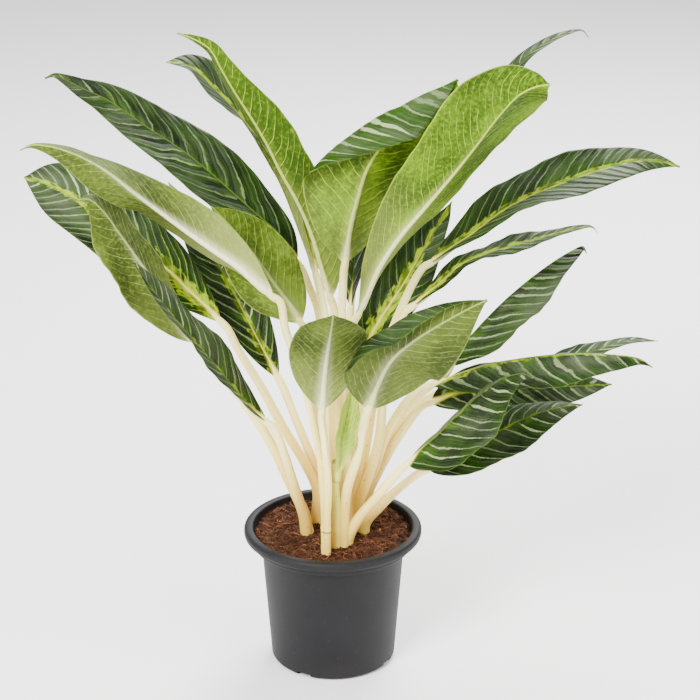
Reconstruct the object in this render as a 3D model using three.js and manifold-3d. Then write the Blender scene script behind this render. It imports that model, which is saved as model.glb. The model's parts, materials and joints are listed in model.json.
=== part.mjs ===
// A potted Chinese evergreen (Aglaonema): a tapered nursery pot filled with coir, seven leafy shoots
// that stand in holes in the coir, and 25 striped leaves, each with a stalk and a folded, waved blade.
// Units are millimetres, +Z is up, and the origin is the centre of the pot's base.
// X runs to the plant's right as it is seen from its front, which looks along -Y.

import * as THREE from "three";
import { mergeVertices } from "three/addons/utils/BufferGeometryUtils.js";
import Module from "manifold-3d";

const wasm = await Module();
wasm.setup();

// ---------- Driving dimensions ----------

const GAP = 0.35; // clearance kept between neighbouring solids

// Pot: a moulded nursery pot, 17 cm across its rim
const RIM_RADIUS = 85;
const POT_HEIGHT = 137;
const BASE_RADIUS = 59.5;
const BASE_CORNER = 5; // rounding between wall and base
const WALL = 2.2;
const FLOOR = 3;
const LIP_HEIGHT = 8.5; // the rolled outer lip
const LIP_ROUND = 3;
const MOUTH_RADIUS = 76; // inner edge of the rim
const STEP_RADIUS = 77.5; // shoulder ring below the lip
const STEP_HEIGHT = 8;
const NECK_RADIUS = 68.5; // wall just below the shoulder
const POT_SIDES = 60;
const CORNER_CUT = 0.3; // where a rounded corner's middle point lies, as a share of its radius
const MOUTH_ROUND = 1.5; // rounding of the mouth's inner edge
const NOTCH_COUNT = 4; // drainage notches in the base edge
const NOTCH_TURN = -28; // degrees from the front to the first notch
const NOTCH_WIDTH = 14;
const NOTCH_HEIGHT = 4.5;
const NOTCH_DEPTH = 7;

// Coir
const SOIL_TOP = 129;
const SOIL_SWELL = 1.6; // height of its broad bumps
const SOIL_SWELL_X = 17; // how long they are, across and from front to back
const SOIL_SWELL_Y = 14;
const SOIL_SWELL_START = 1; // where the first bump stands
const SOIL_RIPPLE = 0.5; // height of the small ripples over them
const SOIL_RIPPLE_LENGTH = 6;
const SOIL_EDGE_GAP = 1; // between the coir and the mouth of the pot
const SOIL_RINGS = 7;
const SOIL_SIDES = 40;

// Shoots
const BURIED = 30; // length of cane below the surface of the coir
const STALK_SIDES = 8;
const STALK_STEP = 26; // length of one stalk segment
const STALK_TOP_RADIUS = 3.3; // where a stalk meets its blade
const STALK_FOOT_RADIUS = 5.2; // sheath at the foot of a stalk
const CANE_SIDES = 12;
const COLLAR_HEIGHT = 4; // where a cane starts to lean, above the coir

// Blades
const BLADE_THICK = 0.9;
const BLADE_STATIONS = 17; // along the midrib
const BLADE_STRIPS = 4; // across, two on each side of the midrib
const MIDRIB_DEPTH = 2.6; // how far the midrib stands out underneath at the base
const STALK_SETBACK = 0.5; // how far a stalk stops short of its blade
const STALK_NECK = 9; // last stretch of a stalk, which runs in line with the midrib
const WIDEST_AT = 0.42; // where a blade is widest, as a share of its length
const BLUNT = 1.25; // how round a blade's end is: 1 is pointed, 2 is round
const FULL_BASE = 0.72; // how fast a blade widens from its base: less is faster
const FULL_TIP = 1.05; // how fast it narrows to its tip
const BASE_WIDTH = 0.1; // share of the full width where a blade begins
const TIP_WIDTH = 0.035; // share of the full width left at the tip
const WAVES = 2.5; // waves along a margin
const WAVE_SWING = 2.6; // their height
const WAVE_SHIFT = 0.3; // how far the two margins' waves stand apart
const CURL_FROM = [0.45, 0.45]; // share of the half width where a margin starts to roll over
const CURL_SPAN = 0.45; // share of the half width over which it does so
const FLAT = [0, 0]; // a margin that doesn't roll
const FRONT = [0, -0.93, 0.37]; // where a blade's upper face looks when its turn is 0
const SECTION_STEPS = 12; // short pieces that a cross-section is summed from

// ---------- Materials ----------

const finish = (color, roughness) => new THREE.MeshStandardMaterial({ color, roughness, metalness: 0 });
const POT_PLASTIC = finish(0x48474a, 0.55);
const COIR = finish(0x6b4029, 0.95);
const CREAM_STALK = finish(0xeee0b8, 0.5);
const GREEN_LEAF = finish(0x5f8a45, 0.45);
const YOUNG_LEAF = finish(0x9dbb4a, 0.45);

// ---------- Plant layout ----------
// cane: foot (at the surface of the coir) and head of the shoot's cane, with its two radii.
// stalk: points from the cane to the blade's base. rib: the midrib's points, from base to tip.
// Lists of turn, fold, curl and curlFrom hold values that stand evenly from a blade's base to its tip.
// turn: degrees that the blade is turned about its midrib, away from face, the way its upper side looks.
// fold: degrees that each half of the blade rises from flat. droop: how far the margins bend back.
// curlLeft, curlRight: degrees that a margin rolls over. curlFrom: where it starts to roll.
// widest: where the blade is widest, as a share of its length. blunt: how round the blade's end is.
// full: how fast the blade widens from its base. swing: height of its margins' waves.
// strips: pieces across, where a margin rolls.

const SHOOTS = [
  {
    name: "shoot_left",
    cane: { foot: [-24, -2], head: [-27, -3, 150], radii: [8, 7] },
    leaves: [
      {
        name: "leaf_left_low_front",
        stalk: [[-27, -4, 146], [-33, -9, 170], [-45, -17, 218]],
        rib: [
          [-61, -25, 255], [-74, -30, 270], [-88, -38, 291], [-108, -52, 325], [-141, -72, 377],
          [-159, -86, 410], [-171, -96, 433], [-178, -99, 437],
        ],
        width: 48, turn: [60, 68], fold: [28, 20], droop: 0.1,
      },
      {
        name: "leaf_left_low",
        stalk: [[-27, 2, 146], [-43, 3, 184], [-63, -2, 232], [-92, -11, 282]],
        rib: [
          [-126, -25, 334], [-138, -31, 356], [-150, -38, 379], [-170, -48, 417], [-186, -57, 447],
          [-200, -64, 472], [-211, -69, 484], [-221, -72, 485],
        ],
        width: 62, turn: [222, 226], fold: [26, 20], droop: 0.1,
        widest: 0.48, blunt: 1.7,
      },
    ],
  },
  {
    name: "shoot_left_back",
    cane: { foot: [-12, 24], head: [-12, 23, 170], radii: [8.5, 7] },
    leaves: [
      {
        name: "leaf_left_middle",
        stalk: [[-15, 18, 164], [-27, 15, 195], [-46, 12, 231], [-68, 10, 277], [-87, 10, 311]],
        rib: [
          [-104, 10, 341], [-118, 14, 355], [-133, 18, 368], [-156, 26, 389], [-180, 34, 405],
          [-208, 43, 427], [-236, 52, 446], [-264, 60, 458], [-287, 66, 463],
        ],
        width: 62, turn: [8, 2], fold: [18, 8], droop: 0.1,
        widest: 0.55, blunt: 2.6,
      },
      {
        name: "leaf_left_lower_back",
        stalk: [[-11, 26, 164], [-22, 28, 198], [-37, 30, 238]],
        rib: [
          [-52, 32, 276], [-67, 38, 304], [-82, 48, 331], [-97, 59, 358], [-124, 81, 400],
          [-156, 105, 446],
        ],
        width: 48, turn: [8, 8], fold: [24, 16], droop: 0.1,
      },
      {
        name: "leaf_left_high",
        stalk: [[-10, 24, 166], [-10, 26, 220], [-9, 29, 290], [-13, 34, 341], [-22, 37, 366]],
        rib: [
          [-33, 38, 390], [-49, 41, 415], [-74, 46, 437], [-132, 56, 487], [-170, 62, 512],
          [-208, 66, 538], [-229, 66, 548], [-245, 65, 557], [-254, 63, 561], [-262, 60, 559],
        ],
        width: 60, turn: [30, 28, 18], fold: [20, 16, 8], droop: 0.12,
        widest: 0.36, blunt: 1.16,
      },
    ],
  },
  {
    name: "shoot_front",
    cane: { foot: [-6, -46], head: [-6, -44, 168], radii: [6.2, 6] },
    leaves: [
      {
        name: "leaf_left_long",
        stalk: [[-7, -42, 164], [-8, -42, 203], [-18, -40, 263], [-29, -38, 311], [-42, -38, 351]],
        rib: [
          [-53, -40, 384], [-68, -43, 398], [-83, -46, 413], [-107, -53, 433], [-131, -60, 454],
          [-169, -74, 490], [-197, -84, 517], [-229, -96, 537], [-253, -103, 543], [-263, -104, 539],
        ],
        width: 60, turn: [125, 132, 165, 214, 226], fold: [30, 32, 60, 45, 24], droop: 0.1,
        widest: 0.4, blunt: 1.15,
      },
      {
        name: "leaf_left_inner",
        stalk: [[-7, -39, 164], [-10, -32, 205], [-14, -25, 270], [-22, -21, 329]],
        rib: [
          [-29, -12, 348], [-40, -12, 367], [-52, -13, 385], [-74, -14, 419], [-93, -20, 446],
          [-107, -27, 464],
        ],
        width: 64, turn: [188, 192], fold: [14, 10], droop: 0.15,
        widest: 0.4,
      },
      {
        name: "leaf_front",
        stalk: [[-5, -47, 164], [-4, -49, 203], [-7, -54, 248]],
        rib: [
          [-9, -54, 279], [-7, -64, 310], [-4, -77, 341], [-1, -96, 367], [1, -118, 388],
          [2, -140, 403],
        ],
        width: 69, turn: [0, 0], fold: [12, 4], droop: 0.1,
        face: [0, 0.35, 1], widest: 0.46, blunt: 1.35, swing: 1.6,
      },
    ],
  },
  {
    name: "shoot_centre",
    cane: { foot: [7, -24], head: [8, -24, 172], radii: [9.5, 8.5] },
    leaves: [
      {
        name: "leaf_young",
        stalk: [[4, -30, 166], [2, -38, 200], [4, -42, 222]],
        rib: [[5, -43, 210], [8, -47, 230], [11, -51, 253], [16, -54, 281], [19, -55, 305]],
        width: 26, turn: [20, 10], fold: [50, 40], droop: 0.05,
        widest: 0.55, young: true,
      },
      {
        name: "leaf_front_right",
        stalk: [[11, -29, 166], [14, -36, 192], [23, -47, 228], [28, -56, 258]],
        rib: [
          [33, -76, 289], [41, -88, 317], [52, -102, 345], [70, -122, 371], [94, -138, 394],
          [116, -150, 412], [132, -157, 423],
        ],
        width: 90, turn: [190, 194], fold: [20, 14], droop: 0.15,
        curlRight: [0, -110, -170, -150, -90], curlFrom: [0.8, 0.5, 0.35, 0.4, 0.5],
        widest: 0.36, full: 0.6, strips: 8,
      },
      {
        name: "leaf_top_right",
        stalk: [[10, -24, 166], [12, -25, 204], [16, -31, 278], [18, -37, 330]],
        rib: [
          [23, -40, 366], [31, -46, 386], [42, -54, 415], [60, -63, 447], [79, -72, 474],
          [102, -84, 507], [123, -98, 540], [141, -114, 571], [157, -130, 594], [170, -142, 604],
          [179, -152, 608],
        ],
        width: 88, turn: [232, 226, 210], fold: [24, 34, 30], droop: 0.1,
        widest: 0.66, blunt: 1.7, full: 1.05,
      },
      {
        name: "leaf_crown_arched",
        stalk: [[8, -22, 166], [7, -17, 200], [7, -18, 273], [9, -20, 355]],
        rib: [
          [12, -20, 409], [16, -26, 440], [23, -34, 473], [31, -44, 503], [43, -54, 527],
          [59, -66, 551], [80, -78, 571], [97, -86, 586], [107, -90, 597],
        ],
        width: 112, turn: [196, 194, 190], fold: [22, 22, 10], droop: 0.1,
        curlRight: [0, -20, -172, -176, -170], curlFrom: [0.8, 0.75, 0.36, 0.05, 0.1],
        widest: 0.42, blunt: 1.9, strips: 8,
      },
      {
        name: "leaf_top_left",
        stalk: [[5, -20, 166], [3, -14, 200], [1, -12, 252], [2, -12, 331]],
        rib: [
          [-1, -12, 372], [-10, -13, 405], [-19, -15, 436], [-30, -18, 464], [-46, -22, 496],
          [-57, -25, 521], [-70, -29, 546], [-84, -32, 570], [-95, -35, 591], [-105, -37, 610],
          [-120, -36, 619], [-133, -31, 622],
        ],
        width: 64, turn: [132, 132, 146], fold: [44, 44, 32], droop: 0.08,
        widest: 0.3, blunt: 0.74,
      },
      {
        name: "leaf_right_base_front",
        stalk: [[14, -26, 134], [25, -29, 158], [41, -31, 180]],
        rib: [
          [69, -34, 216], [81, -38, 232], [94, -44, 247], [110, -54, 269], [134, -66, 299],
          [155, -76, 319], [170, -81, 325], [180, -84, 323],
        ],
        width: 76, turn: [-52, -54], fold: [-30, -34], droop: 0.12,
        full: 0.5,
      },
    ],
  },
  {
    name: "shoot_back",
    cane: { foot: [15, 22], head: [16, 20, 160], radii: [9, 8] },
    leaves: [
      {
        name: "leaf_top_left_back",
        stalk: [[10, 18, 154], [1, 12, 190], [-3, 12, 262], [-5, 16, 330]],
        rib: [
          [-15, 32, 379], [-23, 38, 411], [-32, 44, 440], [-42, 50, 465], [-58, 54, 490],
          [-81, 54, 521], [-108, 50, 553], [-128, 44, 574], [-149, 36, 580],
        ],
        width: 54, turn: [15, 30, 62, 50], fold: [18, 20, 24, 18], droop: 0.1,
        curlLeft: [150, 130, 0, 0], curlFrom: [0.35, 0.35], widest: 0.55, blunt: 2.2, strips: 8,
      },
      {
        name: "leaf_crown_back",
        stalk: [[15, 26, 154], [12, 31, 190], [12, 33, 260], [14, 34, 310]],
        rib: [[17, 36, 345], [19, 42, 370], [22, 50, 396], [36, 70, 443], [56, 90, 487], [70, 104, 512]],
        width: 52, turn: [-60, -40], fold: [18, 10], droop: 0.1,
      },
      {
        name: "leaf_top_right_back",
        stalk: [[18, 28, 154], [18, 40, 186], [26, 52, 244], [34, 58, 314]],
        rib: [
          [41, 62, 353], [54, 66, 380], [73, 72, 409], [120, 88, 483], [178, 104, 566],
          [198, 110, 580], [217, 114, 588], [233, 117, 590], [239, 118, 583],
        ],
        width: 56, turn: [-80, -80], fold: [12, 8], droop: 0.1,
      },
      {
        name: "leaf_right_upright",
        stalk: [[19, 16, 154], [19, 14, 190], [20, 16, 249]],
        rib: [
          [24, 18, 291], [32, 21, 313], [42, 26, 332], [65, 36, 366], [78, 38, 389], [93, 44, 415],
          [104, 50, 430], [111, 54, 443],
        ],
        width: 50, turn: [-14, -16], fold: [18, 12], droop: 0.1,
      },
      {
        name: "leaf_right_long",
        stalk: [[20, 12, 152], [26, 5, 180], [32, 2, 220], [40, 0, 274], [56, -2, 338]],
        rib: [
          [90, 0, 402], [107, 0, 415], [126, 1, 428], [162, 6, 454], [207, 14, 473], [244, 22, 484],
          [281, 33, 489], [303, 38, 486], [319, 40, 481],
        ],
        width: 66, turn: [-64, -52, -24], fold: [26, 20, 8], droop: 0.12,
        blunt: 1.15,
      },
      {
        name: "leaf_right_narrow",
        stalk: [[24, 8, 152], [32, -2, 182], [44, -9, 232], [50, -12, 312], [62, -13, 344]],
        rib: [
          [73, -14, 365], [95, -14, 384], [120, -13, 406], [156, -9, 419], [192, -3, 427],
          [221, 2, 434], [236, 4, 435], [242, 5, 429],
        ],
        width: 31, turn: [-62, -60], fold: [15, 12], droop: 0.12,
      },
    ],
  },
  {
    name: "shoot_right_back",
    cane: { foot: [24, 50], head: [26, 48, 148], radii: [8, 7] },
    leaves: [
      {
        name: "leaf_right_middle",
        stalk: [[28, 50, 144], [38, 50, 170], [58, 44, 214], [82, 34, 256]],
        rib: [
          [111, 26, 290], [120, 26, 308], [134, 28, 325], [163, 38, 353], [198, 54, 377],
          [224, 66, 390], [237, 73, 393], [241, 76, 385],
        ],
        width: 66, turn: [-57, -70], fold: [-32, -34], droop: 0.06,
        widest: 0.38, blunt: 1.1,
      },
      {
        name: "leaf_right_low",
        stalk: [[28, 44, 144], [40, 36, 180], [54, 26, 226], [72, 17, 260]],
        rib: [
          [92, 14, 276], [120, 11, 289], [156, 8, 301], [212, 5, 310], [258, 2, 311], [286, 1, 307],
          [298, 0, 299],
        ],
        width: 64, turn: [-56, -57], fold: [-32, -32], droop: 0.06,
      },
      {
        name: "leaf_right_low_under",
        stalk: [[32, 46, 144], [44, 44, 172], [66, 38, 216]],
        rib: [
          [95, 40, 247], [117, 39, 256], [140, 39, 261], [188, 41, 263], [231, 44, 262],
          [267, 48, 262],
        ],
        width: 54, turn: [-24, -24], fold: [12, 8], droop: 0.12,
        full: 0.55,
      },
      {
        name: "leaf_right_low_back",
        stalk: [[30, 54, 144], [40, 62, 172], [60, 68, 206], [88, 71, 234]],
        rib: [
          [121, 73, 250], [154, 76, 255], [182, 80, 261], [245, 88, 278], [289, 95, 289],
          [317, 98, 287],
        ],
        width: 34, turn: [-64, -60], fold: [14, 8], droop: 0.12,
      },
    ],
  },
  {
    name: "shoot_right",
    cane: { foot: [27, -2], head: [29, -2, 146], radii: [6.5, 6] },
    leaves: [
      {
        name: "leaf_right_base",
        stalk: [[31, -3, 140], [44, -6, 158], [64, -9, 180]],
        rib: [
          [90, -14, 202], [110, -15, 214], [134, -14, 228], [175, -10, 249], [208, -6, 260],
          [234, -4, 263],
        ],
        width: 56, turn: [-38, -40], fold: [-12, -14], droop: 0.12,
        full: 0.55,
      },
    ],
  },
];

// ---------- Geometry helpers ----------

const vec = (p) => new THREE.Vector3(...p);
const radians = (degrees) => (degrees * Math.PI) / 180;

// A closed mesh's positions and triangles as a manifold solid.
function solid(positions, triangles) {
  const merged = new Float32Array(positions.flat());
  return new wasm.Manifold(
    new wasm.Mesh({
      numProp: 3,
      vertProperties: merged,
      triVerts: new Uint32Array(triangles.flat()),
    }),
  );
}

// A three.js geometry as a manifold solid.
function solidOf(geometry) {
  const bare = geometry.clone();
  bare.deleteAttribute("normal");
  bare.deleteAttribute("uv");
  const merged = mergeVertices(bare, 1e-4);
  return new wasm.Manifold(
    new wasm.Mesh({
      numProp: 3,
      vertProperties: new Float32Array(merged.attributes.position.array),
      triVerts: new Uint32Array(merged.index.array),
    }),
  );
}

// A manifold solid as a named mesh.
function meshOf(name, shape, material) {
  const found = shape.getMesh();
  const geometry = new THREE.BufferGeometry();
  const positions = Array.from(found.vertProperties);
  geometry.setAttribute("position", new THREE.Float32BufferAttribute(positions, 3));
  geometry.setIndex(Array.from(found.triVerts));
  geometry.computeVertexNormals();
  const mesh = new THREE.Mesh(geometry, material);
  mesh.name = name;
  return mesh;
}

// A round bar through the points, whose radius runs evenly from first to last.
function taperedBar(points, first, last, sides = STALK_SIDES) {
  const curve = new THREE.CatmullRomCurve3(points.map(vec));
  const segments = Math.max(2, Math.round(curve.getLength() / STALK_STEP));
  const centres = curve.getSpacedPoints(segments);
  const positions = [];
  const across = new THREE.Vector3(1, 0, 0);
  centres.forEach((centre, k) => {
    const along = curve.getTangentAt(k / segments);
    const side = across.clone().addScaledVector(along, -across.dot(along)).normalize();
    const up = new THREE.Vector3().crossVectors(along, side);
    const radius = first + ((last - first) * k) / segments;
    for (let i = 0; i < sides; i++) {
      const turn = (2 * Math.PI * i) / sides;
      const point = centre.clone();
      point.addScaledVector(side, radius * Math.cos(turn));
      point.addScaledVector(up, radius * Math.sin(turn));
      positions.push(point.toArray());
    }
  });
  const start = positions.push(centres[0].toArray()) - 1;
  const end = positions.push(centres[segments].toArray()) - 1;
  const triangles = [];
  for (let i = 0; i < sides; i++) {
    const next = (i + 1) % sides;
    triangles.push([start, next, i]);
    triangles.push([end, segments * sides + i, segments * sides + next]);
    for (let k = 0; k < segments; k++) {
      const low = k * sides;
      const high = low + sides;
      triangles.push([low + i, low + next, high + next]);
      triangles.push([low + i, high + next, high + i]);
    }
  }
  return solid(positions, triangles);
}

// ---------- Blades ----------

// Reads values that stand evenly along a blade, at a share of its length.
function spread(values, t) {
  const at = t * (values.length - 1);
  const low = Math.min(Math.floor(at), values.length - 2);
  return values[low] + (values[low + 1] - values[low]) * (at - low);
}

// Share of a blade's half width at a place along it, from 0 at the base to 1 at the tip.
function outline({ widest = WIDEST_AT, blunt = BLUNT, full = FULL_BASE }, t) {
  if (t < widest) return Math.max(BASE_WIDTH, Math.sin((Math.PI / 2) * (t / widest)) ** full);
  const past = (t - widest) / (1 - widest);
  return Math.max(TIP_WIDTH, Math.cos((Math.PI / 2) * past ** blunt) ** FULL_TIP);
}

// Height of the wave of a blade's margin, which grows from the midrib outwards.
function wave({ waves = WAVES, swing = WAVE_SWING, phase = 0 }, t, side) {
  return swing * Math.sin(Math.PI * t) * Math.sin(2 * Math.PI * (waves * t + phase + WAVE_SHIFT * side));
}

// Slope of a blade's cross-section in radians, at a share of the half width on the side -1 or 1.
function slope(leaf, t, side, share) {
  const { fold, curlLeft = FLAT, curlRight = FLAT, curlFrom = CURL_FROM } = leaf;
  const from = spread(curlFrom, t);
  const rolled = THREE.MathUtils.smoothstep(share, from, from + CURL_SPAN);
  const curl = spread(side > 0 ? curlRight : curlLeft, t) * rolled;
  return radians(spread(fold, t) + curl) - 2 * leaf.droop * share;
}

// One blade: a thin folded sheet on the leaf's midrib, split into the same triangles above and below.
function blade(leaf) {
  const curve = new THREE.CatmullRomCurve3(leaf.rib.map(vec));
  const strips = leaf.strips ?? BLADE_STRIPS;
  const last = BLADE_STATIONS - 1;
  const upper = [];
  const lower = [];
  for (let k = 0; k <= last; k++) {
    const t = k / last;
    const centre = curve.getPointAt(t);
    const along = curve.getTangentAt(t);
    const normal = vec(leaf.face ?? FRONT);
    normal.addScaledVector(along, -normal.dot(along)).normalize();
    normal.applyAxisAngle(along, radians(spread(leaf.turn, t)));
    const side = new THREE.Vector3().crossVectors(along, normal);
    const half = (leaf.width / 2) * outline(leaf, t);
    for (let j = 0; j <= strips; j++) {
      const v = (2 * j) / strips - 1;
      const reach = Math.abs(v);
      const hand = Math.sign(v);
      let run = 0;
      let rise = 0;
      for (let i = 0; i < SECTION_STEPS; i++) {
        const angle = slope(leaf, t, hand, (reach * (i + 0.5)) / SECTION_STEPS);
        run += (Math.cos(angle) * v) / SECTION_STEPS;
        rise += (Math.sin(angle) * reach) / SECTION_STEPS;
      }
      const lift = half * rise + wave(leaf, t, hand) * reach ** 2 * outline(leaf, t);
      const point = centre.clone().addScaledVector(side, half * run);
      point.addScaledVector(normal, lift);
      const angle = slope(leaf, t, hand, reach);
      const out = normal.clone().multiplyScalar(Math.cos(angle));
      out.addScaledVector(side, -hand * Math.sin(angle));
      const rib = v === 0 ? MIDRIB_DEPTH * (1 - t) : 0;
      upper.push(point.clone().addScaledVector(out, BLADE_THICK / 2).toArray());
      lower.push(point.clone().addScaledVector(out, -BLADE_THICK / 2 - rib).toArray());
    }
  }
  return sheet(upper, lower, BLADE_STATIONS, strips + 1);
}

// A closed sheet between two grids of points with the same triangles.
function sheet(upper, lower, rows, columns) {
  const under = upper.length;
  const triangles = [];
  const quad = (a, b, c, d) => {
    triangles.push([a, b, c]);
    triangles.push([a, c, d]);
  };
  for (let k = 0; k < rows - 1; k++) {
    for (let j = 0; j < columns - 1; j++) {
      const a = k * columns + j;
      const b = a + 1;
      const c = b + columns;
      const d = a + columns;
      quad(a, b, c, d);
      triangles.push([under + a, under + c, under + b]);
      triangles.push([under + a, under + d, under + c]);
    }
    const left = k * columns;
    const right = left + columns - 1;
    quad(left, left + columns, under + left + columns, under + left);
    quad(right + columns, right, under + right, under + right + columns);
  }
  for (let j = 0; j < columns - 1; j++) {
    const end = (rows - 1) * columns + j;
    quad(j + 1, j, under + j, under + j + 1);
    quad(end, end + 1, under + end + 1, under + end);
  }
  return solid(upper.concat(lower), triangles);
}

// ---------- Shoots ----------

// A shoot's cane with the stalks of its leaves. Each stalk ends just short of its blade.
function shoot({ cane, leaves }) {
  const [x, y] = cane.foot;
  const buried = [x, y, SOIL_TOP - BURIED];
  const [footRadius, headRadius] = cane.radii;
  const collar = [x, y, SOIL_TOP + COLLAR_HEIGHT];
  const waist = [x, y, SOIL_TOP - BURIED / 2];
  let shape = taperedBar([buried, waist, collar, cane.head], footRadius, headRadius, CANE_SIDES);
  for (const leaf of leaves) {
    const base = vec(leaf.rib[0]);
    const along = new THREE.CatmullRomCurve3(leaf.rib.map(vec)).getTangentAt(0);
    const neck = base.clone().addScaledVector(along, -STALK_NECK);
    const end = base.clone().addScaledVector(along, -STALK_SETBACK);
    const path = [...leaf.stalk, neck.toArray(), end.toArray()];
    shape = shape.add(taperedBar(path, STALK_FOOT_RADIUS, STALK_TOP_RADIUS));
  }
  return shape;
}

// ---------- Coir ----------

// Height of the coir's surface at a point.
function soilHeight(x, y) {
  const swell = Math.sin(x / SOIL_SWELL_X + SOIL_SWELL_START) * Math.cos(y / SOIL_SWELL_Y);
  const ripple = Math.sin((x - y) / SOIL_RIPPLE_LENGTH);
  return SOIL_TOP + SOIL_SWELL * swell + SOIL_RIPPLE * ripple;
}

// The coir fills the pot from its floor to just under the rim.
function soil() {
  const radii = Array.from({ length: SOIL_RINGS }, (_, k) => (k + 1) / SOIL_RINGS);
  const stepFoot = POT_HEIGHT - LIP_HEIGHT - STEP_HEIGHT;
  const topRadius = MOUTH_RADIUS - SOIL_EDGE_GAP - GAP;
  const lowRadius = wallRadius(FLOOR + GAP + BASE_CORNER) - WALL - GAP;
  const positions = [[0, 0, soilHeight(0, 0)]];
  const ring = (radius, height) => {
    for (let i = 0; i < SOIL_SIDES; i++) {
      const turn = (2 * Math.PI * i) / SOIL_SIDES;
      const x = radius * Math.cos(turn);
      const y = radius * Math.sin(turn);
      positions.push([x, y, height ?? soilHeight(x, y)]);
    }
  };
  radii.forEach((share) => ring(topRadius * share));
  ring(topRadius, stepFoot + WALL + 1);
  ring(wallRadius(stepFoot) - WALL - 1.5 * GAP, stepFoot - 2);
  ring(lowRadius, FLOOR + GAP + BASE_CORNER);
  ring(lowRadius - BASE_CORNER, FLOOR + GAP);
  const bottom = positions.push([0, 0, FLOOR + GAP]) - 1;
  const rings = SOIL_RINGS + 4;
  const triangles = [];
  for (let i = 0; i < SOIL_SIDES; i++) {
    const next = (i + 1) % SOIL_SIDES;
    triangles.push([0, 1 + i, 1 + next]);
    for (let k = 0; k < rings - 1; k++) {
      const inner = 1 + k * SOIL_SIDES;
      const outer = inner + SOIL_SIDES;
      triangles.push([inner + i, outer + i, outer + next]);
      triangles.push([inner + i, outer + next, inner + next]);
    }
    const lowest = 1 + (rings - 1) * SOIL_SIDES;
    triangles.push([bottom, lowest + next, lowest + i]);
  }
  let shape = solid(positions, triangles);
  for (const { cane } of SHOOTS) shape = shape.subtract(caneHole(cane));
  return shape;
}

// The plain hole that a cane stands in.
function caneHole({ foot: [x, y], radii: [radius] }) {
  const length = 2 * BURIED;
  const hole = new THREE.CylinderGeometry(radius + 2 * GAP, radius + 2 * GAP, length, CANE_SIDES);
  hole.rotateX(Math.PI / 2);
  hole.translate(x, y, SOIL_TOP - BURIED - GAP + length / 2);
  return solidOf(hole);
}

// ---------- Pot ----------

// Outer radius of the pot's wall at a height below the shoulder.
function wallRadius(z) {
  return BASE_RADIUS + ((NECK_RADIUS - BASE_RADIUS) * z) / (POT_HEIGHT - LIP_HEIGHT - STEP_HEIGHT);
}

function pot() {
  const stepTop = POT_HEIGHT - LIP_HEIGHT;
  const stepFoot = stepTop - STEP_HEIGHT;
  const profile = [
    [0, 0],
    [BASE_RADIUS - BASE_CORNER, 0],
    [BASE_RADIUS - BASE_CORNER * CORNER_CUT, BASE_CORNER * CORNER_CUT],
    [wallRadius(BASE_CORNER), BASE_CORNER],
    [NECK_RADIUS, stepFoot],
    [STEP_RADIUS, stepFoot + 2],
    [STEP_RADIUS + 0.6, stepTop],
    [RIM_RADIUS - 1, stepTop],
    [RIM_RADIUS, stepTop + LIP_ROUND],
    [RIM_RADIUS, POT_HEIGHT - LIP_ROUND],
    [RIM_RADIUS - LIP_ROUND * CORNER_CUT, POT_HEIGHT - LIP_ROUND * CORNER_CUT],
    [RIM_RADIUS - LIP_ROUND, POT_HEIGHT],
    [MOUTH_RADIUS + MOUTH_ROUND, POT_HEIGHT],
    [MOUTH_RADIUS, POT_HEIGHT - MOUTH_ROUND],
    [MOUTH_RADIUS - 0.7, stepFoot + WALL],
    [wallRadius(stepFoot) - WALL, stepFoot - 2],
    [wallRadius(FLOOR + BASE_CORNER) - WALL, FLOOR + BASE_CORNER],
    [wallRadius(FLOOR) - WALL - BASE_CORNER, FLOOR],
    [0, FLOOR],
  ];
  const body = new THREE.LatheGeometry(profile.map(([r, z]) => new THREE.Vector2(r, z)), POT_SIDES);
  body.rotateX(Math.PI / 2);
  let shape = solidOf(body);
  for (let k = 0; k < NOTCH_COUNT; k++) {
    shape = shape.subtract(notch(NOTCH_TURN + (360 / NOTCH_COUNT) * k));
  }
  return shape;
}

// A drainage notch across the base edge, at a turn in degrees from the front.
function notch(turn) {
  const block = new THREE.BoxGeometry(NOTCH_WIDTH, NOTCH_DEPTH * 2, NOTCH_HEIGHT * 2);
  block.translate(0, -BASE_RADIUS, 0);
  block.rotateZ(radians(turn));
  return solidOf(block);
}

// ---------- Assembly ----------

const plant = new THREE.Group();
plant.name = "potted_chinese_evergreen";
plant.add(meshOf("pot", pot(), POT_PLASTIC));
plant.add(meshOf("soil", soil(), COIR));
for (const part of SHOOTS) {
  plant.add(meshOf(part.name, shoot(part), CREAM_STALK));
  for (const leaf of part.leaves) {
    plant.add(meshOf(leaf.name, blade(leaf), leaf.young ? YOUNG_LEAF : GREEN_LEAF));
  }
}

export default plant;
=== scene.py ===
"""A potted Chinese evergreen: striped leaves on cream stalks, in a dark nursery pot filled with coir.

Everything is in metres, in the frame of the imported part: +Z up, the origin at the centre of the pot's base,
-Y the front of the plant. Tables of the plant's own points are in millimetres, as in the part's source.
"""

import json
import logging
import math
from dataclasses import dataclass, field, replace
from enum import Enum
from typing import Any, Callable, Sequence

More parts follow.
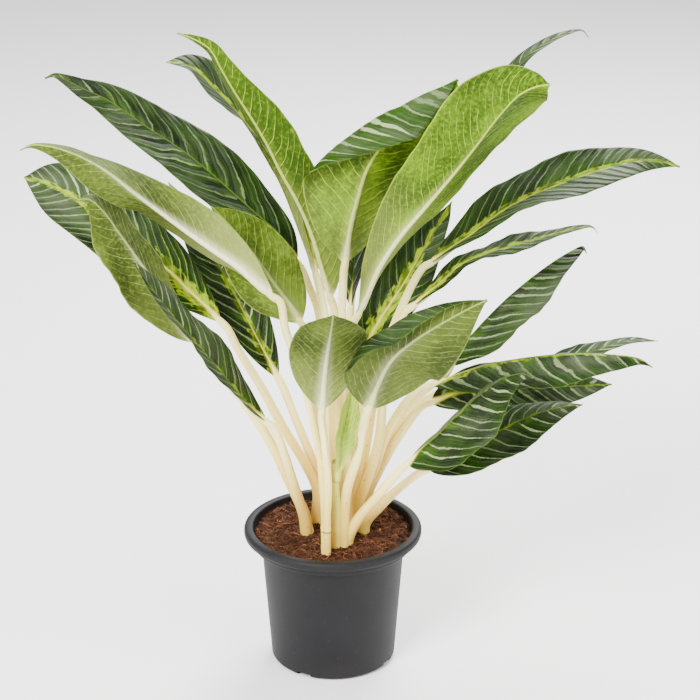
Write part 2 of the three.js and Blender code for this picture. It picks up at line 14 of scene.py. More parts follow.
import bpy
import numpy as np
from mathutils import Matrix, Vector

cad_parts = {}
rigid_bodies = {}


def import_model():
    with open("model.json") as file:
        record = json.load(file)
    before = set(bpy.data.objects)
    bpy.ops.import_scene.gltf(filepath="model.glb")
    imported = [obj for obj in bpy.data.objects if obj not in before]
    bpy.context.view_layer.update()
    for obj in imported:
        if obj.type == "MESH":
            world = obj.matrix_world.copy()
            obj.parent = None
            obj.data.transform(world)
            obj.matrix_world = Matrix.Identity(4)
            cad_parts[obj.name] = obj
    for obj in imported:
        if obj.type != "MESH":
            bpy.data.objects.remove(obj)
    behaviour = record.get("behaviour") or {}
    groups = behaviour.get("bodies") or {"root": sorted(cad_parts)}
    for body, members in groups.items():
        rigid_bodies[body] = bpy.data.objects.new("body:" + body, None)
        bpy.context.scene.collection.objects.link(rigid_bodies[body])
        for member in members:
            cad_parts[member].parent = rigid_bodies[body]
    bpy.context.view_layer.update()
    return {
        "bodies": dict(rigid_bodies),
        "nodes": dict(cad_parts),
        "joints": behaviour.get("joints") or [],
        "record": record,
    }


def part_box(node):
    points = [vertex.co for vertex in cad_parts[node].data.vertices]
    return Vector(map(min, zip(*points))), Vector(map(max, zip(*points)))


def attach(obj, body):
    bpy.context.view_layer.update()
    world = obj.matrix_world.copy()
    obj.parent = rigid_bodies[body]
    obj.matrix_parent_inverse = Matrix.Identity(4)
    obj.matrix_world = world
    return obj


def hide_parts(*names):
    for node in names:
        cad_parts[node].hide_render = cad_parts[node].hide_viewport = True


log = logging.getLogger("evergreen")

MM = 0.001
Point = tuple[float, float, float]
Array = np.ndarray
Object = bpy.types.Object
Material = bpy.types.Material


# ---------------------------------------------------------------- numbers and curves


def tone(red: float, green: float, blue: float) -> tuple[float, float, float, float]:
    """The linear colour that shaders use, with its alpha, from a display colour.

    Args:
        red, green, blue: the display colour from 0 to 255.

    Returns:
        The linear red, green, blue and alpha.
    """

    def linear(share: float) -> float:
        """One channel."""
        return share / 12.92 if share <= 0.04045 else ((share + 0.055) / 1.055) ** 2.4

    return (*(linear(channel / 255) for channel in (red, green, blue)), 1.0)


def ease(low: float, high: float, value: Array | float) -> Array:
    """Rises smoothly from 0 at low to 1 at high.

    Args:
        low: where the rise starts.
        high: where it ends.
        value: the places to read it at.

    Returns:
        The height at each place.
    """
    share = np.clip((np.asarray(value, float) - low) / (high - low), 0, 1)
    return share * share * (3 - 2 * share)


def unit(vectors: Array) -> Array:
    """The vectors, each with length 1."""
    return vectors / np.maximum(np.linalg.norm(vectors, axis=-1, keepdims=True), 1e-12)


@dataclass
class Curve:
    """A smooth curve through points: a centripetal Catmull-Rom spline read by length.

    Fields:
        points: the points that it goes through.
        steps: how finely each stretch between two points is measured.
    """

    points: Sequence[Point]
    steps: int = 24

    def __post_init__(self) -> None:
        """Measures the curve."""
        given = np.array(self.points, float)
        ends = np.vstack([2 * given[0] - given[1], given, 2 * given[-1] - given[-2]])
        parts = [self._stretch(*ends[k : k + 4]) for k in range(len(given) - 1)]
        self._dense = np.vstack([*parts, given[-1:]])
        lengths = np.linalg.norm(np.diff(self._dense, axis=0), axis=1)
        self._run = np.concatenate([[0], np.cumsum(lengths)])
        self._slopes = unit(np.gradient(self._dense, self._run, axis=0))

    def _stretch(self, before: Array, start: Array, end: Array, after: Array) -> Array:
        """The points of one stretch, without its end.

        Args:
            before, start, end, after: four points in a row, of which start and end bound the stretch.

        Returns:
            One row for each step.
        """
        pairs = ((before, start), (start, end), (end, after))
        gaps = [max(np.linalg.norm(b - a) ** 0.5, 1e-6) for a, b in pairs]
        leave = (start - before) / gaps[0] - (end - before) / (gaps[0] + gaps[1]) + (end - start) / gaps[1]
        arrive = (end - start) / gaps[1] - (after - start) / (gaps[1] + gaps[2]) + (after - end) / gaps[2]
        leave, arrive = leave * gaps[1], arrive * gaps[1]
        w = np.linspace(0, 1, self.steps, endpoint=False)[:, None]
        square = -3 * start + 3 * end - 2 * leave - arrive
        cube = 2 * start - 2 * end + leave + arrive
        return start + leave * w + square * w**2 + cube * w**3

    @property
    def length(self) -> float:
        """The curve's length."""
        return float(self._run[-1])

    def read(self, shares: Array) -> tuple[Array, Array]:
        """Points and directions at shares of the length.

        Args:
            shares: places from 0 to 1.

        Returns:
            The points, and the unit directions along the curve there.
        """
        at = np.asarray(shares) * self._run[-1]
        points = np.stack([np.interp(at, self._run, axis) for axis in self._dense.T], -1)
        slopes = np.stack([np.interp(at, self._run, axis) for axis in self._slopes.T], -1)
        return points, unit(slopes)


# ---------------------------------------------------------------- meshes


def grid_faces(rows: int, columns: int, first: int = 0, flip: bool = False, wrap: bool = False) -> Array:
    """Four-sided faces of a grid of points kept row by row.

    Args:
        rows: how many rows of points.
        columns: how many points in each row.
        first: the index of the grid's first point.
        flip: True turns the faces round.
        wrap: True joins each row's last point to its first.

    Returns:
        One row of four indices for each face.
    """
    across = columns if wrap else columns - 1
    k, j = np.meshgrid(np.arange(rows - 1), np.arange(across), indexing="ij")
    here, next_j = k * columns + j, k * columns + (j + 1) % columns
    faces = np.stack([here, next_j, next_j + columns, here + columns], -1).reshape(-1, 4) + first
    return faces[:, ::-1] if flip else faces


def end_faces(rows: int, sides: int) -> list[list[int]]:
    """The two faces that close a tube whose points are kept ring by ring."""
    return [list(range(sides))[::-1], [(rows - 1) * sides + i for i in range(sides)]]


BLOCK_CORNERS = np.array([(a, b, c) for c in (-1, 1) for a, b in ((-1, -1), (1, -1), (1, 1), (-1, 1))])
BLOCK_FACES = ((3, 2, 1, 0), (4, 5, 6, 7), (0, 1, 5, 4), (1, 2, 6, 5), (2, 3, 7, 6), (3, 0, 4, 7))


def make_object(
    name: str,
    points: Array,
    faces: Sequence[Sequence[int]] | Array,
    materials: Sequence[Material],
    maps: dict[str, Array] | None = None,
    slots: Array | None = None,
    smooth: bool = True,
) -> Object:
    """A mesh object from arrays.

    Args:
        name: the object's name.
        points: one row for each vertex, in metres.
        faces: the vertices of each face.
        materials: the material slots, in order.
        maps: pairs of numbers for each vertex, kept as UV maps, by name.
        slots: the material slot of each face.
        smooth: True for smooth shading.

    Returns:
        The new object, linked to the scene.
    """
    mesh = bpy.data.meshes.new(name)
    mesh.from_pydata(np.asarray(points).tolist(), [], faces.tolist() if isinstance(faces, Array) else faces)
    for material in materials:
        mesh.materials.append(material)
    corners = np.empty(len(mesh.loops), np.int32)
    mesh.loops.foreach_get("vertex_index", corners)
    for map_name, pairs in (maps or {}).items():
        layer = mesh.uv_layers.new(name=map_name, do_init=False)
        layer.uv.foreach_set("vector", pairs[corners].astype(np.float32).ravel())
    if slots is not None:
        mesh.polygons.foreach_set("material_index", np.asarray(slots, np.int32))
    mesh.polygons.foreach_set("use_smooth", np.full(len(mesh.polygons), smooth))
    mesh.update()
    made = bpy.data.objects.new(name, mesh)
    bpy.context.scene.collection.objects.link(made)
    return made


# ---------------------------------------------------------------- shader maths


def operator(operation: str) -> Callable[..., "Value"]:
    """A method that adds a Math node.

    Args:
        operation: what the node does with the value, and with what else the method is given.

    Returns:
        The method.
    """

    def method(value: "Value", *others: Any) -> "Value":
        """The node's output."""
        return value.math(operation, *others)

    return method


class Value:
    """A socket that Python arithmetic turns into Math nodes."""

    __add__ = __radd__ = operator("ADD")
    __mul__ = __rmul__ = operator("MULTIPLY")
    __sub__ = operator("SUBTRACT")
    __truediv__ = operator("DIVIDE")
    __abs__ = operator("ABSOLUTE")
    sign = operator("SIGN")
    whole = operator("FLOOR")
    fraction = operator("FRACT")
    least = operator("MINIMUM")
    most = operator("MAXIMUM")

    def __init__(self, shader: "Shader", socket: bpy.types.NodeSocket) -> None:
        """Wraps a socket of a shader."""
        self.shader = shader
        self.socket = socket

    def __rsub__(self, other: Any) -> "Value":
        """other - self."""
        return self.math("MULTIPLY_ADD", -1.0, other)

    def math(self, operation: str, *others: Any) -> "Value":
        """A Math node on this value and the others."""
        inputs = dict(enumerate((self, *others)))
        return self.shader.node("ShaderNodeMath", {"operation": operation}, inputs)

    def step(self, low: Any, high: Any) -> "Value":
        """Rises smoothly from 0 where self is low to 1 where it is high."""
        return self.shader.node(
            "ShaderNodeMapRange",
            {"interpolation_type": "SMOOTHSTEP"},
            {"Value": self, "From Min": low, "From Max": high},
        )


class Shader:
    """A node material under construction."""

    def __init__(self, name: str) -> None:
        """Starts a material that holds one Principled shader."""
        self.material = bpy.data.materials.new(name)
        self.material.use_nodes = True
        self.tree = self.material.node_tree
        self.main = self.tree.nodes["Principled BSDF"]

    def node(self, kind: str, settings: dict[str, Any], sockets: dict[Any, Any], output: Any = 0) -> Value:
        """Any node.

        Args:
            kind: the node's type.
            settings: its properties, which are set first; stops are a ramp's places and colours.
            sockets: the values or links of its inputs, by name or number.
            output: the output to read, by name or number.

        Returns:
            That output.
        """
        made = self.tree.nodes.new(kind)
        for key, value in settings.items():
            if key == "stops":
                self._set_stops(made.color_ramp.elements, value)
            else:
                setattr(made, key, value)
        for key, value in sockets.items():
            self._feed(made.inputs[key], value)
        return Value(self, made.outputs[output])

    def _set_stops(self, elements: Any, stops: Sequence[tuple[float, Sequence[float]]]) -> None:
        """Gives a ramp its stops."""
        while len(elements) < len(stops):
            elements.new(0.5)
        for element, (place, colour) in zip(elements, stops):
            element.position = place
            element.color = colour

    def _feed(self, socket: bpy.types.NodeSocket, value: Any) -> None:
        """Links a socket, or sets its own value."""
        if isinstance(value, Value):
            self.tree.links.new(value.socket, socket)
        else:
            socket.default_value = value

    def uv(self, name: str) -> tuple[Value, Value]:
        """The two numbers of a map."""
        at = self.node("ShaderNodeUVMap", {"uv_map": name}, {})
        parts = self.node("ShaderNodeSeparateXYZ", {}, {0: at})
        return parts, Value(self, parts.socket.node.outputs[1])

    def vector(self, x: Any, y: Any, z: Any = 0.0) -> Value:
        """A vector from three numbers."""
        return self.node("ShaderNodeCombineXYZ", {}, {0: x, 1: y, 2: z})

    def place(self) -> Value:
        """The point's place on the object, in metres."""
        return self.node("ShaderNodeTexCoord", {}, {}, "Object")

    def noise(self, at: Value, scale: float, detail: float = 2.0, roughness: float = 0.5) -> Value:
        """Cloudy noise from 0 to 1."""
        sockets = {"Vector": at, "Scale": scale, "Detail": detail, "Roughness": roughness}
        return self.node("ShaderNodeTexNoise", {}, sockets)

    def mix(self, share: Any, low: Any, high: Any) -> Value:
        """A colour between two colours."""
        sockets = {0: share, 6: low, 7: high}
        return self.node("ShaderNodeMix", {"data_type": "RGBA"}, sockets, 2)

    def finish(self, sockets: dict[str, Any]) -> Material:
        """Sets inputs of the Principled shader and gives the material."""
        for key, value in sockets.items():
            self._feed(self.main.inputs[key], value)
        return self.material

    def dress(
        self, colour: Value, rough: Any, gloss: float, height: Value, relief: tuple[float, float]
    ) -> Material:
        """Gives the surface its looks.

        Args:
            colour: its colour.
            rough: its roughness.
            gloss: how strongly it shines.
            height: the height of its fine relief.
            relief: how high in metres that is at 1, and how strong it looks.

        Returns:
            The material.
        """
        self.finish({"Base Color": colour, "Roughness": rough, "Specular IOR Level": gloss})
        sockets = {"Height": height, "Distance": relief[0], "Strength": relief[1]}
        return self.finish({"Normal": self.node("ShaderNodeBump", {}, sockets)})


# ---------------------------------------------------------------- finishes

Colour = tuple[float, float, float, float]

PLACE = "place"  # map: millimetres along the piece, and across it from its middle
SHARE = "share"  # map: the same as shares of the piece's length and half width
TINT = "tint"  # map: how golden and how sunlit a leaf is
GRAIN = "grain"  # map: a number that sets a piece's pattern apart, and how pale a midrib is underneath
VEIN = "vein"  # map: the count of stripes up to here, and how silvery a leaf is

STRIPES_BELOW = 60.0  # keeps the count of stripes above zero
DRIFT = 0.9  # how far stripes wander from their place, in gaps between stripes
DRIFT_FINE = 0.035  # how fine that wandering is, for each millimetre
SIDE_SHIFT = 0.21  # how far the stripes right of the midrib stand from those left of it
VEIN_GRAIN = 3.7  # sets the noise along the side veins apart from the other noise


@dataclass(frozen=True)
class Pattern:
    """The coordinates that a blade's markings follow, in one shader.

    Fields:
        along, across: millimetres along the midrib and away from it.
        side: the side of the midrib, and the share of the half width on it.
        length_share, width_share: the same places as shares of the length and half width.
        stripe: the count of stripes up to here.
        gold, glow, grain, silver, pale: as a Leaf's fields say.
    """

    shader: Shader
    along: Value
    across: Value
    side: Value
    length_share: Value
    width_share: Value
    gold: Value
    glow: Value
    grain: Value
    silver: Value
    stripe: Value
    pale: Value

    @classmethod
    def of(cls, shader: Shader) -> "Pattern":
        """Reads a blade's maps.

        Args:
            shader: the material that is being made.

        Returns:
            The coordinates.
        """
        along, signed = shader.uv(PLACE)
        length_share, side = shader.uv(SHARE)
        gold, glow = shader.uv(TINT)
        vein, silver = shader.uv(VEIN)
        grain, pale = shader.uv(GRAIN)
        drift = shader.noise(shader.vector(along * DRIFT_FINE, signed * DRIFT_FINE, grain), 1.0) - 0.5
        stripe = vein + drift * DRIFT + side.sign() * SIDE_SHIFT + STRIPES_BELOW
        shares = (length_share, abs(side))
        return cls(shader, along, abs(signed), side, *shares, gold, glow, grain, silver, stripe, pale)

    def noise(self, along: float, across: float, detail: float = 2.0) -> Value:
        """Noise that lies along the side veins.

        Args:
            along: how fine it is from one stripe to the next.
            across: how fine it is along a stripe, for each millimetre from the midrib.
            detail: its octaves.

        Returns:
            Noise from 0 to 1.
        """
        at = self.shader.vector(self.stripe * along, self.across * across, self.grain + VEIN_GRAIN)
        return self.shader.noise(at, 1.0, detail)

    def cloud(self, along: float, across: float, detail: float = 3.0) -> Value:
        """Noise that lies along the blade, as fine as given for each millimetre."""
        grain = self.grain + self.side.sign()
        at = self.shader.vector(self.along * along, self.across * across, grain)
        return self.shader.noise(at, 1.0, detail)

    def lines(self, count: float, shift: float, thin: float, wide: float) -> Value:
        """Lines along the side veins.

        Args:
            count: how many stand in one gap between stripes.
            shift: where they stand in it.
            thin: half the width of a line's full colour, as a share of the gap between lines.
            wide: half the width at which it has faded.

        Returns:
            1 on a line and 0 between.
        """
        return 1 - abs((self.stripe * count + shift).fraction() - 0.5).step(thin, wide)


REDRAWS = (7.31, 23.7, 3.3)  # times these, one random number gives three others
STRIPE_PLACE, STRIPE_STRAY = 0.36, 0.28  # where a stripe lies in its gap, and how far it strays


@dataclass(frozen=True)
class BladeFace:
    """The upper face of a blade: dark green, with feathered silver stripes and a golden middle."""

    deep: Colour = tone(7, 20, 0)
    green: Colour = tone(25, 49, 0)
    fresh: Colour = tone(64, 104, 0)
    sheen_grey: Colour = tone(80, 90, 64)
    silver: Colour = tone(150, 168, 116)
    lime: Colour = tone(136, 168, 20)
    vein: Colour = tone(86, 114, 28)
    gold: Colour = tone(136, 160, 0)
    cream: Colour = tone(232, 220, 96)
    sunlit: Colour = tone(74, 124, 0)

    def build(self) -> Material:
        """Makes the material."""
        s = Shader("blade_upper_face")
        p = Pattern.of(s)
        # dark green, fresher towards the midrib, with painted light where light shines through and a painted
        # grey sheen towards the tip
        cloud = p.cloud(0.03, 0.06)
        streak = p.noise(1.3, 0.04, 3.0)
        colour = s.mix((cloud * 0.6 + streak * 0.4).step(0.38, 0.62), self.deep, self.green)
        inner = (1 - p.width_share.step(0.0, 0.5)) * streak.step(0.45, 0.7) * 0.5
        colour = s.mix(inner, colour, self.fresh)
        colour = s.mix(p.glow * 0.15, colour, self.sunlit)
        # painted sheen: grey patches that grow towards the tip, as strong as the leaf is silvery
        painted_sheen = p.cloud(0.02, 0.05, 4.0).step(0.38, 0.68) * p.length_share.step(0.1, 0.7)
        colour = s.mix(painted_sheen * 0.5 * p.silver.least(1.0), colour, self.sheen_grey)
        # side veins and stripes, which are lime near the foot of a golden leaf
        between = p.lines(3.0, 0.0, 0.01, 0.07) * p.noise(0.8, 0.2).step(0.35, 0.6)
        colour = s.mix(between * 0.38, colour, self.vein)
        stripe_colour = s.mix((p.gold - p.length_share).step(0.2, 0.9), self.silver, self.lime)
        colour = s.mix(self._stripes(s, p), colour, stripe_colour)
        colour = self._golden(s, p, colour)
        # midrib, foot and margin
        rib = 1 - (p.across / (1.3 - 0.9 * p.length_share)).step(0.4, 1.1)
        rib_colour = s.mix((p.gold - p.length_share * 0.9).step(0.1, 0.7), self.vein, self.cream)
        colour = s.mix(rib * 0.7, colour, rib_colour)
        foot = 1 - ((p.across * 6.0 + p.along) / 34.0).step(0.3, 1.0)
        colour = s.mix(foot, colour, self.cream)
        colour = s.mix(p.width_share.step(0.96, 1.0) * 0.5, colour, self.vein)
        quilt = p.stripe.fraction() * (1 - p.stripe.fraction()) * 4 + streak * 0.5 - rib
        return s.dress(colour, 0.4 + 0.2 * cloud, 0.12, quilt + 0.1 * s.noise(s.place(), 900.0), (0.0014, 0.6))

    def _golden(self, s: Shader, p: Pattern, colour: Value) -> Value:
        """The yellow-green flecks that crowd towards the midrib, and the cream heart of a golden leaf.

        Args:
            s: the shader.
            p: the blade's pattern.
            colour: the colour that they lie on.

        Returns:
            The colour with them.
        """
        feather = p.noise(1.7, 0.3, 5.0) * 0.6 + p.cloud(0.12, 0.2, 5.0) * 0.4
        reach = p.gold * (1.2 - p.length_share) * 11.0 + 0.01
        closeness = p.across / reach
        flecks = (feather * 1.6 - closeness * 0.5).step(0.42, 0.6) * p.gold.step(0.02, 0.25)
        gate = p.cloud(0.09, 0.12, 4.0).step(0.4, 0.6)
        colour = s.mix(flecks * (gate * 0.85 + 0.2 * p.gold).least(1.0), colour, self.gold)
        heart = (1 - (closeness * 2.2 + feather * 0.8 - 0.4).step(0.05, 0.5)) * p.gold.step(0.6, 1.2)
        return s.mix(heart * (1 - p.length_share.step(0.1, 0.7)) * 0.9, colour, self.cream)

    @staticmethod
    def _stripes(s: Shader, p: Pattern) -> Value:
        """The silver stripes: a fine line the whole way out, and along part of it a jagged blotch.

        Args:
            s: the shader.
            p: the blade's pattern.

        Returns:
            1 on a stripe and 0 off it.
        """
        at = s.vector(p.stripe.whole(), p.side.sign() + p.grain)
        draw = s.node("ShaderNodeTexWhiteNoise", {"noise_dimensions": "2D"}, {0: at})
        other, third, fourth = ((draw * factor).fraction() for factor in REDRAWS)
        place = abs(p.stripe.fraction() - STRIPE_PLACE - other * STRIPE_STRAY)
        jag = (p.noise(5.0, 0.8, 4.0) - 0.5) * 0.2
        begin, end = p.width_share - third * 0.16, p.width_share - other * 0.3
        run = begin.step(0.0, 0.12) * (1 - end.step(0.38, 0.9))
        width = (0.03 + 0.1 * draw * p.noise(0.6, 0.16).step(0.3, 0.6)) * run * p.silver
        strength = 0.15 + 0.7 * fourth
        blotch = (1 - (place + jag).step(width, width + 0.035)) * run.step(0.02, 0.3) * strength
        hair = (1 - place.step(0.012, 0.045)) * 0.48 * p.noise(0.7, 0.1).step(0.22, 0.45)
        return blotch.most(hair) * p.silver.least(1.0) * (1 - p.width_share.step(0.8, 1.1) * 0.6)


@dataclass(frozen=True)
class BladeBack:
    """The under face of a blade: grey-green, mottled, with fine pale veins and a broad cream midrib."""

    shade: Colour = tone(46, 58, 14)
    green: Colour = tone(88, 104, 32)
    young: Colour = tone(186, 196, 104)
    vein: Colour = tone(156, 172, 92)
    rib: Colour = tone(240, 236, 190)
    sunlit: Colour = tone(94, 128, 0)
    sunlit_shade: Colour = tone(34, 60, 0)
    sunlit_vein: Colour = tone(176, 192, 60)

    def build(self) -> Material:
        """Makes the material."""
        s = Shader("blade_under_face")
        p = Pattern.of(s)
        # mottled grey-green, with painted shade where a low silver darkens the whole face, and yellower where
        # light shines through
        cloud = p.cloud(0.014, 0.03, 3.0)
        at = s.vector(p.along * 0.3, p.across * 0.3, p.grain + p.side.sign())
        fleck = s.noise(at, 1.0, 5.0, 0.6)
        # painted shade: a low silver pulls the whole under face towards the shade colours
        depth = (cloud * 0.6 + fleck * 0.4).step(0.36, 0.66) * (0.25 + 0.75 * p.silver).least(1.0)
        colour = s.mix(depth, self.shade, self.green)
        colour = s.mix(p.glow.step(0.0, 0.9), colour, s.mix(depth, self.sunlit_shade, self.sunlit))
        vein = s.mix(p.glow.step(0.1, 0.7), self.vein, self.sunlit_vein)
        colour = s.mix((1 - p.length_share.step(0.0, 0.55)) * (0.02 + 0.46 * p.pale), colour, self.young)
        # fine side veins, broken here and there
        broken = p.noise(0.6, 0.12, 3.0).step(0.3, 0.6) * (1 - p.width_share.step(0.6, 1.0) * 0.6)
        colour = s.mix(p.lines(1.3, 0.1, 0.01, 0.05) * 0.65 * broken, colour, vein)
        colour = s.mix(fleck.step(0.5, 0.75) * 0.16, colour, vein)
        # the pale zone beside the midrib, the midrib, foot and margin
        near = 1 - (p.across / (12.0 - 9.0 * p.length_share)).step(0.05, 1.0)
        fade = 1 - p.length_share.step(0.1, 0.85)
        beside = s.mix(p.glow, self.rib, self.sunlit_vein)
        colour = s.mix(near * fade * (0.08 + 0.5 * p.pale), colour, beside)
        rib = 1 - (p.across / (0.8 + (0.5 + 2.0 * p.pale) * fade)).step(0.5, 1.1)
        cream = (fade * (0.3 + p.pale) - p.glow * 0.2).least(1.0).most(0.0)
        colour = s.mix(rib * (0.5 + 0.5 * p.pale).least(0.85), colour, s.mix(cream, vein, self.rib))
        foot = 1 - ((p.across * 5.0 + p.along) / 40.0).step(0.2, 1.0)
        colour = s.mix(foot * 0.9, colour, s.mix(0.35 + 0.65 * p.pale, self.sunlit_vein, self.rib))
        colour = s.mix(p.width_share.step(0.96, 1.0) * 0.5, colour, vein)
        ridge = 1 - abs((p.stripe * 1.3 + 0.1).fraction() - 0.5).step(0.0, 0.25)
        return s.dress(colour, 0.5 + 0.2 * fleck, 0.1, ridge + 0.2 * fleck, (0.0008, 0.5))


@dataclass(frozen=True)
class YoungBlade:
    """A leaf that is still rolled: bright, with long fine streaks."""

    green: Colour = tone(104, 138, 6)
    pale: Colour = tone(200, 202, 88)

    def build(self) -> Material:
        """Makes the material."""
        s = Shader("young_blade")
        p = Pattern.of(s)
        streak = s.noise(s.vector(p.along * 0.02, p.across * 0.9, p.grain), 1.0, 3.0)
        pale = (1 - p.length_share.step(0.0, 0.5)) * 0.6
        colour = s.mix((streak.step(0.35, 0.7) * 0.5 + pale).least(1.0), self.green, self.pale)
        colour = s.mix(p.lines(2.0, 0.0, 0.02, 0.08) * 0.4, colour, self.pale)
        return s.dress(colour, 0.4 + 0.15 * streak, 0.2, streak, (0.0005, 0.4))


@dataclass(frozen=True)
class StalkSkin:
    """Cream stalks that turn tan towards their foot, with fine streaks and a few brown specks."""

    cream: Colour = tone(255, 240, 160)
    butter: Colour = tone(250, 222, 100)
    tan: Colour = tone(200, 156, 64)
    green: Colour = tone(168, 178, 36)
    brown: Colour = tone(96, 58, 22)

    def build(self) -> Material:
        """Makes the material."""
        s = Shader("stalk_skin")
        along, _ = s.uv(PLACE)
        share, around = s.uv(SHARE)
        warm, green = s.uv(TINT)
        grain, ring_at = s.uv(GRAIN)
        streak = s.noise(s.vector(along * 0.012, around * 5.0, grain), 1.0, 3.0)
        blotch = s.noise(s.vector(along * 0.05, around * 2.0, grain + 5.0), 1.0, 2.0)
        colour = s.mix((share + streak * 0.5 - 0.3).step(0.0, 0.75), self.butter, self.cream)
        # tan towards the foot, green towards the blade
        foot = (1 - (along + blotch * 50.0 - 25.0).step(0.0, 120.0)) * (0.35 + 0.65 * warm)
        colour = s.mix(foot, colour, self.tan)
        fresh = share.step(0.75, 1.0) * 0.2 + green * share.step(0.05, 0.5)
        colour = s.mix((fresh * (0.6 + 0.6 * streak)).least(0.95), colour, self.green)
        colour = s.mix(streak.step(0.54, 0.7) * 0.45, colour, self.tan)
        colour = s.mix((1 - streak.step(0.3, 0.42)) * 0.22, colour, self.green)
        # brown specks and the scar of an old leaf
        at = s.vector(along * 0.16, around * 3.0, grain)
        dots = s.node("ShaderNodeTexVoronoi", {}, {"Vector": at, "Scale": 1.0})
        rare = blotch.step(0.42, 0.6)
        colour = s.mix((1 - dots.step(0.06, 0.2)) * rare * 0.7, colour, self.brown)
        ring = (1 - abs(along - ring_at + blotch * 1.5).step(0.3, 1.4)) * ring_at.step(0.0, 1.0)
        colour = s.mix(ring * 0.75, colour, self.brown)
        return s.dress(colour, 0.42 + 0.2 * streak, 0.4, streak, (0.0009, 0.6))


@dataclass(frozen=True)
class CoirFinish:
    """Coconut fibre: red-brown, with painted shade in its hollows and on its sides below the surface."""

    dark: Colour = tone(18, 8, 4)
    brown: Colour = tone(56, 30, 16)
    red: Colour = tone(98, 58, 32)
    straw: Colour = tone(188, 136, 90)

    def build(self) -> Material:
        """Makes the material."""
        s = Shader("coir")
        shade, depth = s.uv(SHARE)
        grit = s.noise(s.place(), 420.0, 4.0, 0.65)
        mixed = (shade * 0.75 + grit * 0.5 - 0.12).least(1.0).most(0.0)
        stops = [(0.0, self.dark), (0.4, self.brown), (0.75, self.red), (1.0, self.straw)]
        ramp = s.node("ShaderNodeValToRGB", {"stops": stops}, {0: mixed})
        # painted shade: darker in the hollows of the surface and on the sides below it
        colour = s.mix(depth * 0.85, ramp, self.dark)
        return s.dress(colour, 0.92, 0.2, grit, (0.0012, 0.8))


@dataclass(frozen=True)
class PotPlastic:
    """Matte charcoal plastic with faint scuffs and dust."""

    charcoal: Colour = tone(15, 14, 16)
    slate: Colour = tone(24, 23, 25)
    dust: Colour = tone(70, 64, 58)

    def build(self) -> Material:
        """Makes the material."""
        s = Shader("pot_plastic")
        at = s.place()
        mottle = s.noise(at, 26.0, 4.0)
        grain = s.noise(at, 1500.0, 2.0)
        speck = s.noise(at, 340.0, 2.0).step(0.68, 0.74)
        _, height = s.uv(PLACE)
        colour = s.mix(mottle.step(0.3, 0.75) * 0.6, self.charcoal, self.slate)
        low = 1 - height.step(0.0, 30.0)
        colour = s.mix(speck * 0.25 + low * mottle * 0.12, colour, self.dust)
        return s.dress(colour, 0.52 + 0.14 * mottle, 0.22, grain + 0.6 * mottle, (0.0004, 0.35))


@dataclass(frozen=True)
class FloorFinish:
    """A plain pale floor."""

    white: Colour = tone(246, 246, 246)

    def build(self) -> Material:
        """Makes the material."""
        s = Shader("floor_white")
        s.finish({"Base Color": self.white, "Roughness": 0.8})
        return s.material


@dataclass
class Palette:
    """One material of each finish."""

    face: Material = field(default_factory=BladeFace().build)
    back: Material = field(default_factory=BladeBack().build)
    young: Material = field(default_factory=YoungBlade().build)
    stalk: Material = field(default_factory=StalkSkin().build)
    coir: Material = field(default_factory=CoirFinish().build)
    plastic: Material = field(default_factory=PotPlastic().build)
    floor: Material = field(default_factory=FloorFinish().build)


# ---------------------------------------------------------------- leaves


class Age(Enum):
    """How far a leaf has grown."""

    GROWN = "leaf"
    YOUNG = "young_leaf"


def spread(values: Sequence[Any], t: Array) -> Array:
    """Reads values that stand evenly along a blade at places between them.

    Args:
        values: numbers or points, from the base to the tip.
        t: the places, from 0 to 1.

    Returns:
        One number or point for each place.
    """
    table = np.array(values, float)
    at = np.asarray(t) * (len(table) - 1)
    low = np.clip(at.astype(int), 0, max(len(table) - 2, 0))
    part = (at - low).reshape((-1,) + (1,) * (table.ndim - 1))
    return table[low] * (1 - part) + table[np.minimum(low + 1, len(table) - 1)] * part


